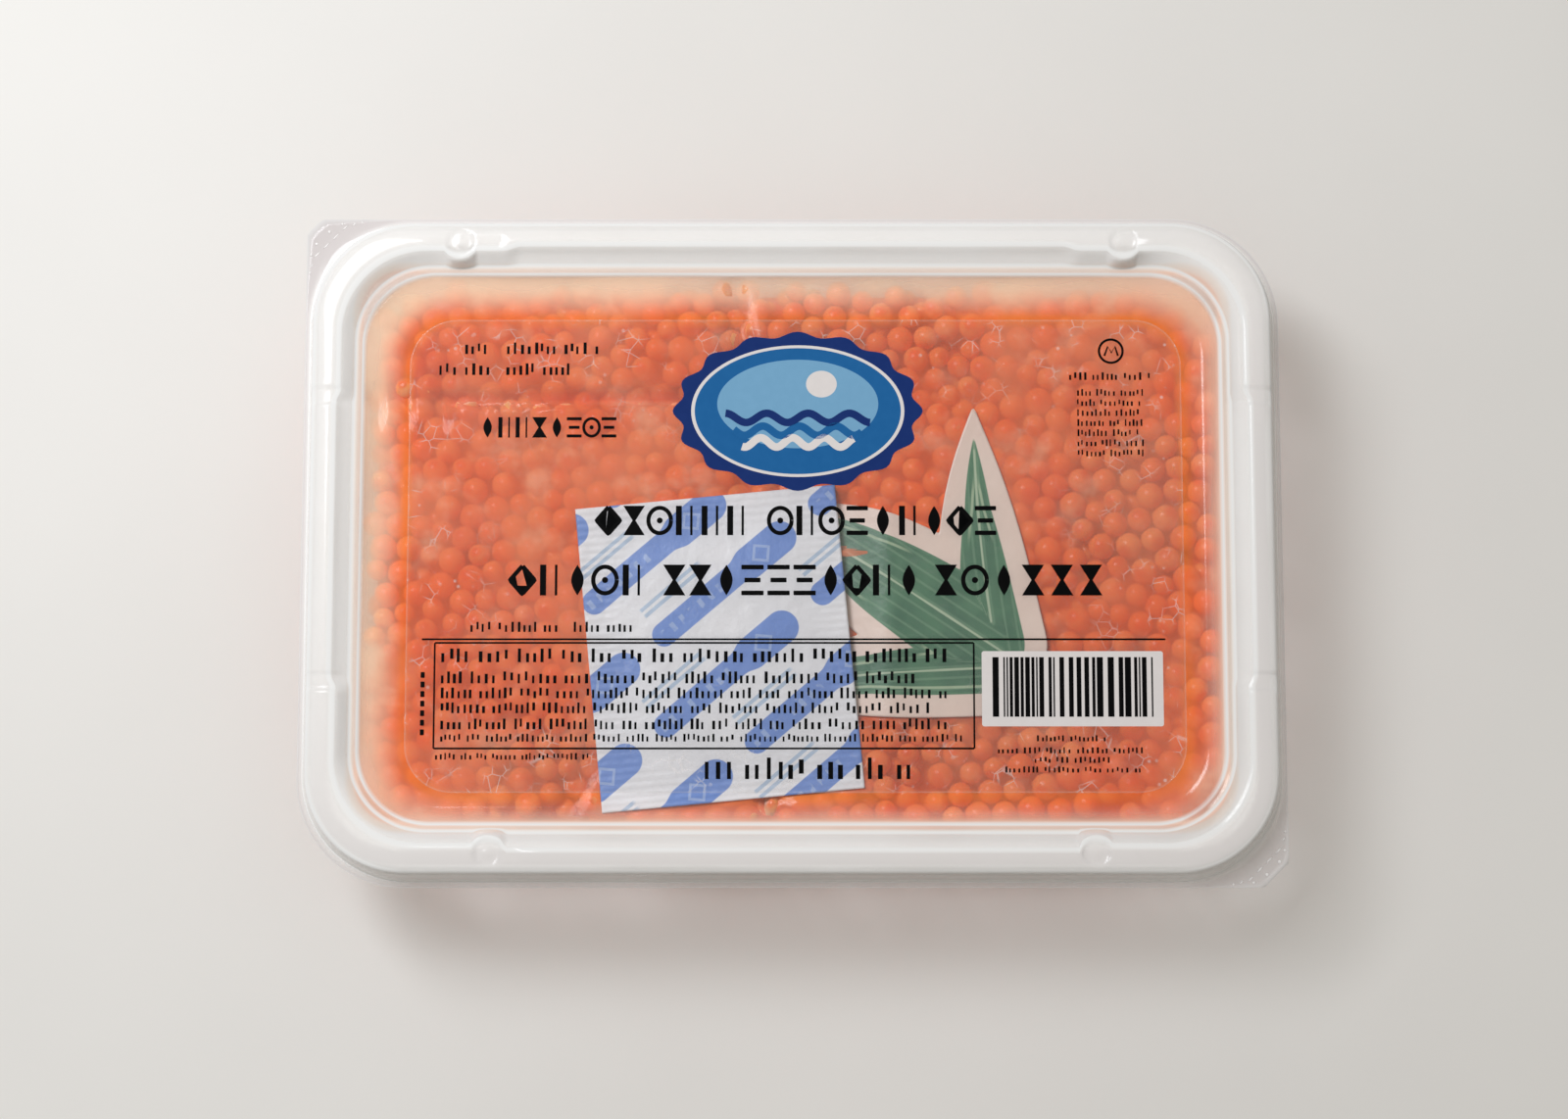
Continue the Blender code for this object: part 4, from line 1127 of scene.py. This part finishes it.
def add_ornaments(ink, left, right, middle, height):
    """A word of the title as a row of plain shapes as tall as its line: spindles, lozenges, dotted rings,
    stacked bars, hourglasses and pairs of bars."""
    count = max(2, round((right - left) / (0.88 * height)))
    step = (right - left) / count
    half = height / 2
    t = np.linspace(0.0, 1.0, 33)
    around = np.linspace(0.02, 2 * math.pi + 0.01, 49)
    for number in range(count):
        x = left + (number + 0.5) * step
        kind = int(draw.integers(0, 6))
        if kind == 0:
            bow = 0.2 * height * np.sin(np.pi * t)
            edge, other = [np.stack([x + swell, middle - half + height * t], axis=1) for swell in (bow, -bow)]
            add_plate(ink, np.vstack([edge, other[::-1][1:-1]]))
        elif kind == 1:
            slant = np.abs((around / (math.pi / 2)) % 2 - 1)
            swing_x = 0.4 * height * (1 - slant) * np.sign(np.sin(around))
            swing_y = 0.46 * height * slant * np.sign(np.cos(around))
            add_stroke(ink, np.stack([x + swing_x, middle + swing_y], axis=1), 0.14 * height)
        elif kind == 2:
            wide, tall = 0.38 * height, 0.43 * height
            ring = np.stack([x + wide * np.cos(around), middle + tall * np.sin(around)], axis=1)
            add_stroke(ink, ring, 0.14 * height)
            add_plate(ink, disc(x, middle, 0.1 * height, 0.1 * height, 20))
        elif kind == 3:
            for rise, reach in ((-0.42, 0.36), (0.0, 0.26), (0.42, 0.36)):
                ends = x - reach * height, x + reach * height
                add_bar(ink, *ends, middle + rise * height, 0.15 * height, 0, 0.1)
        elif kind == 4:
            for sign in (-1, 1):
                tip = [(x - 0.05 * height, middle), (x + 0.05 * height, middle)]
                base = [(x + 0.36 * height, middle + sign * half), (x - 0.36 * height, middle + sign * half)]
                add_plate(ink, (tip + base)[::sign])
        else:
            for shift, wide in ((-0.22, 0.2), (0.2, 0.08)):
                ends = [x + (shift + part * wide / 2) * height for part in (-1, 1)]
                add_block(ink, *ends, middle - half, middle + half)


def disc(x, y, radius_x, radius_y, count=48, petals=0, petal_depth=0.0):
    """Points round an oval whose radius swings petals times by petal_depth."""
    turn = np.linspace(0, 2 * math.pi, count, endpoint=False)
    swing = 1 + petal_depth * np.cos(petals * turn)
    return np.stack([x + radius_x * swing * np.cos(turn), y + radius_y * swing * np.sin(turn)], axis=1)


for left, right, middle in (
    (-55.3, -50.7, 34.2), (-48.2, -32.7, 34.2), (-59.6, -51.0, 30.6), (-48.3, -36.8, 30.6),
):
    add_words("black", left, right, middle, 2.0, 1.1)
add_ornaments("black", -52.8, -29.4, 20.6, 3.5)
add_words("black", 46.9, 61.2, 29.4, 1.3)
for row in range(7):
    add_words("black", 48.2, 60.7 - draw.uniform(0, 2.5), 26.6 - row * 1.73, 1.15, 0.7)
for left, right in ((-33.0, -7.1), (-4.1, 34.7)):
    add_ornaments("black", left, right, 4.7, 5.0)
for left, right in ((-47.5, -24.4), (-21.9, 21.8), (23.4, 52.6)):
    add_ornaments("black", left, right, -5.4, 5.2)
for left, right in ((-53.8, -39.0), (-36.5, -26.1)):
    add_words("black", left, right, -13.3, 1.7, 0.95)
for middle, height, pitch in (
    (-18.1, 2.3, 1.3), (-21.8, 2.0, 1.1), (-24.4, 1.8, 1.0), (-26.9, 1.8, 1.0), (-29.6, 1.8, 1.0),
    (-31.9, 1.3, 0.8),
):
    add_words("black", -58.6, 29.0 - draw.uniform(0, 8), middle, height, pitch)
add_words("black", -59.4, -33.7, -35.0, 1.1, 0.7)
add_words("black", -14.5, 21.1, -37.0, 3.6, 1.75)
for left, right, middle in ((-61.9, 62.5, -15.4), (-59.7, 30.4, -16.0), (-59.7, 30.4, -33.7)):
    add_bar("black", left, right, middle, 0.32)
for side in (-59.7, 30.4):
    add_block("black", side - 0.15, side + 0.15, -33.7, -16.0)
for place in np.arange(-31.0, -21.0, 1.6):
    add_bar("black", -62.0, -61.3, place, 1.0, 0, 0.1)
turn = np.linspace(0, 2 * math.pi * 0.999, 60)
add_stroke("black", np.stack([54.0 + 2.0 * np.cos(turn), 33.7 + 2.0 * np.sin(turn)], axis=1), 0.4)
add_stroke("black", [(52.9, 32.9), (53.5, 34.5), (54.1, 33.4), (54.7, 34.5), (55.2, 32.9)], 0.35)
for left, right, middle in (
    (40.8, 52.3, -32.0), (34.3, 59.4, -34.0), (40.4, 53.3, -35.6), (35.5, 58.6, -37.2),
):
    add_words("black", left, right, middle, 1.0, 0.75)

add_bar("white", 31.7, 62.0, -23.7, 12.6, 0, 0.02)
place = 33.5
while place < 60.8:
    width = float(draw.choice([0.26, 0.26, 0.52, 0.78, 1.04]))
    add_block("black", place, place + width, -28.4, -18.4, 1)
    place += width + float(draw.choice([0.26, 0.26, 0.52, 0.78]))

badge = (1.0, 23.4)
# A scalloped oval under three smooth ones, then three rows of waves and a disc
add_plate("dark_blue", disc(*badge, 20.4, 13.2, 160, 16, 0.035))
add_plate("white", disc(*badge, 18.0, 11.3, 96), 1)
add_plate("mid_blue", disc(*badge, 17.4, 10.8, 96), 2)
add_plate("pale_blue", disc(badge[0], badge[1] + 1.2, 13.6, 7.6, 96), 3)
for row, (ink, drop) in enumerate((("dark_blue", -1.2), ("mid_blue", -3.4), ("white", -5.4))):
    t = np.linspace(-1.0, 1.0, 61)
    reach = 12.2 - 1.4 * row
    crest = badge[1] + drop + 0.8 * np.sin(t * math.pi * 3.5 + row * 1.3)
    add_stroke(ink, np.stack([badge[0] + reach * t, crest], axis=1), 1.3, 4)
add_plate("white", disc(badge[0] + 4.0, badge[1] + 4.6, 2.6, 2.3, 40), 4)

for ink, plates in plate_sets.items():
    ink_finish, start = new_material("ink_" + ink)
    wear = start.noise(700.0, 3.0).step(0.3, 0.8)
    worn = [min(255, part + INK_WEAR) for part in INKS[ink]]
    surface(start, {
        "Base Color": (wear * 0.25).between(linear(*INKS[ink]), linear(*worn)),
        "Roughness": 0.45 + wear * 0.12,
        "Specular IOR Level": 0.05,
    })
    printed = new_object("print_" + ink, *joined(plates), ink_finish)
    printed.data.shade_flat()
    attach(printed, "root")
    printed.visible_shadow = False

# The thin clear pieces let nearly all light past, so they throw no shadow of their own, nor does the print.
for clear_piece in (marks, lid, film, brine):
    clear_piece.visible_shadow = False
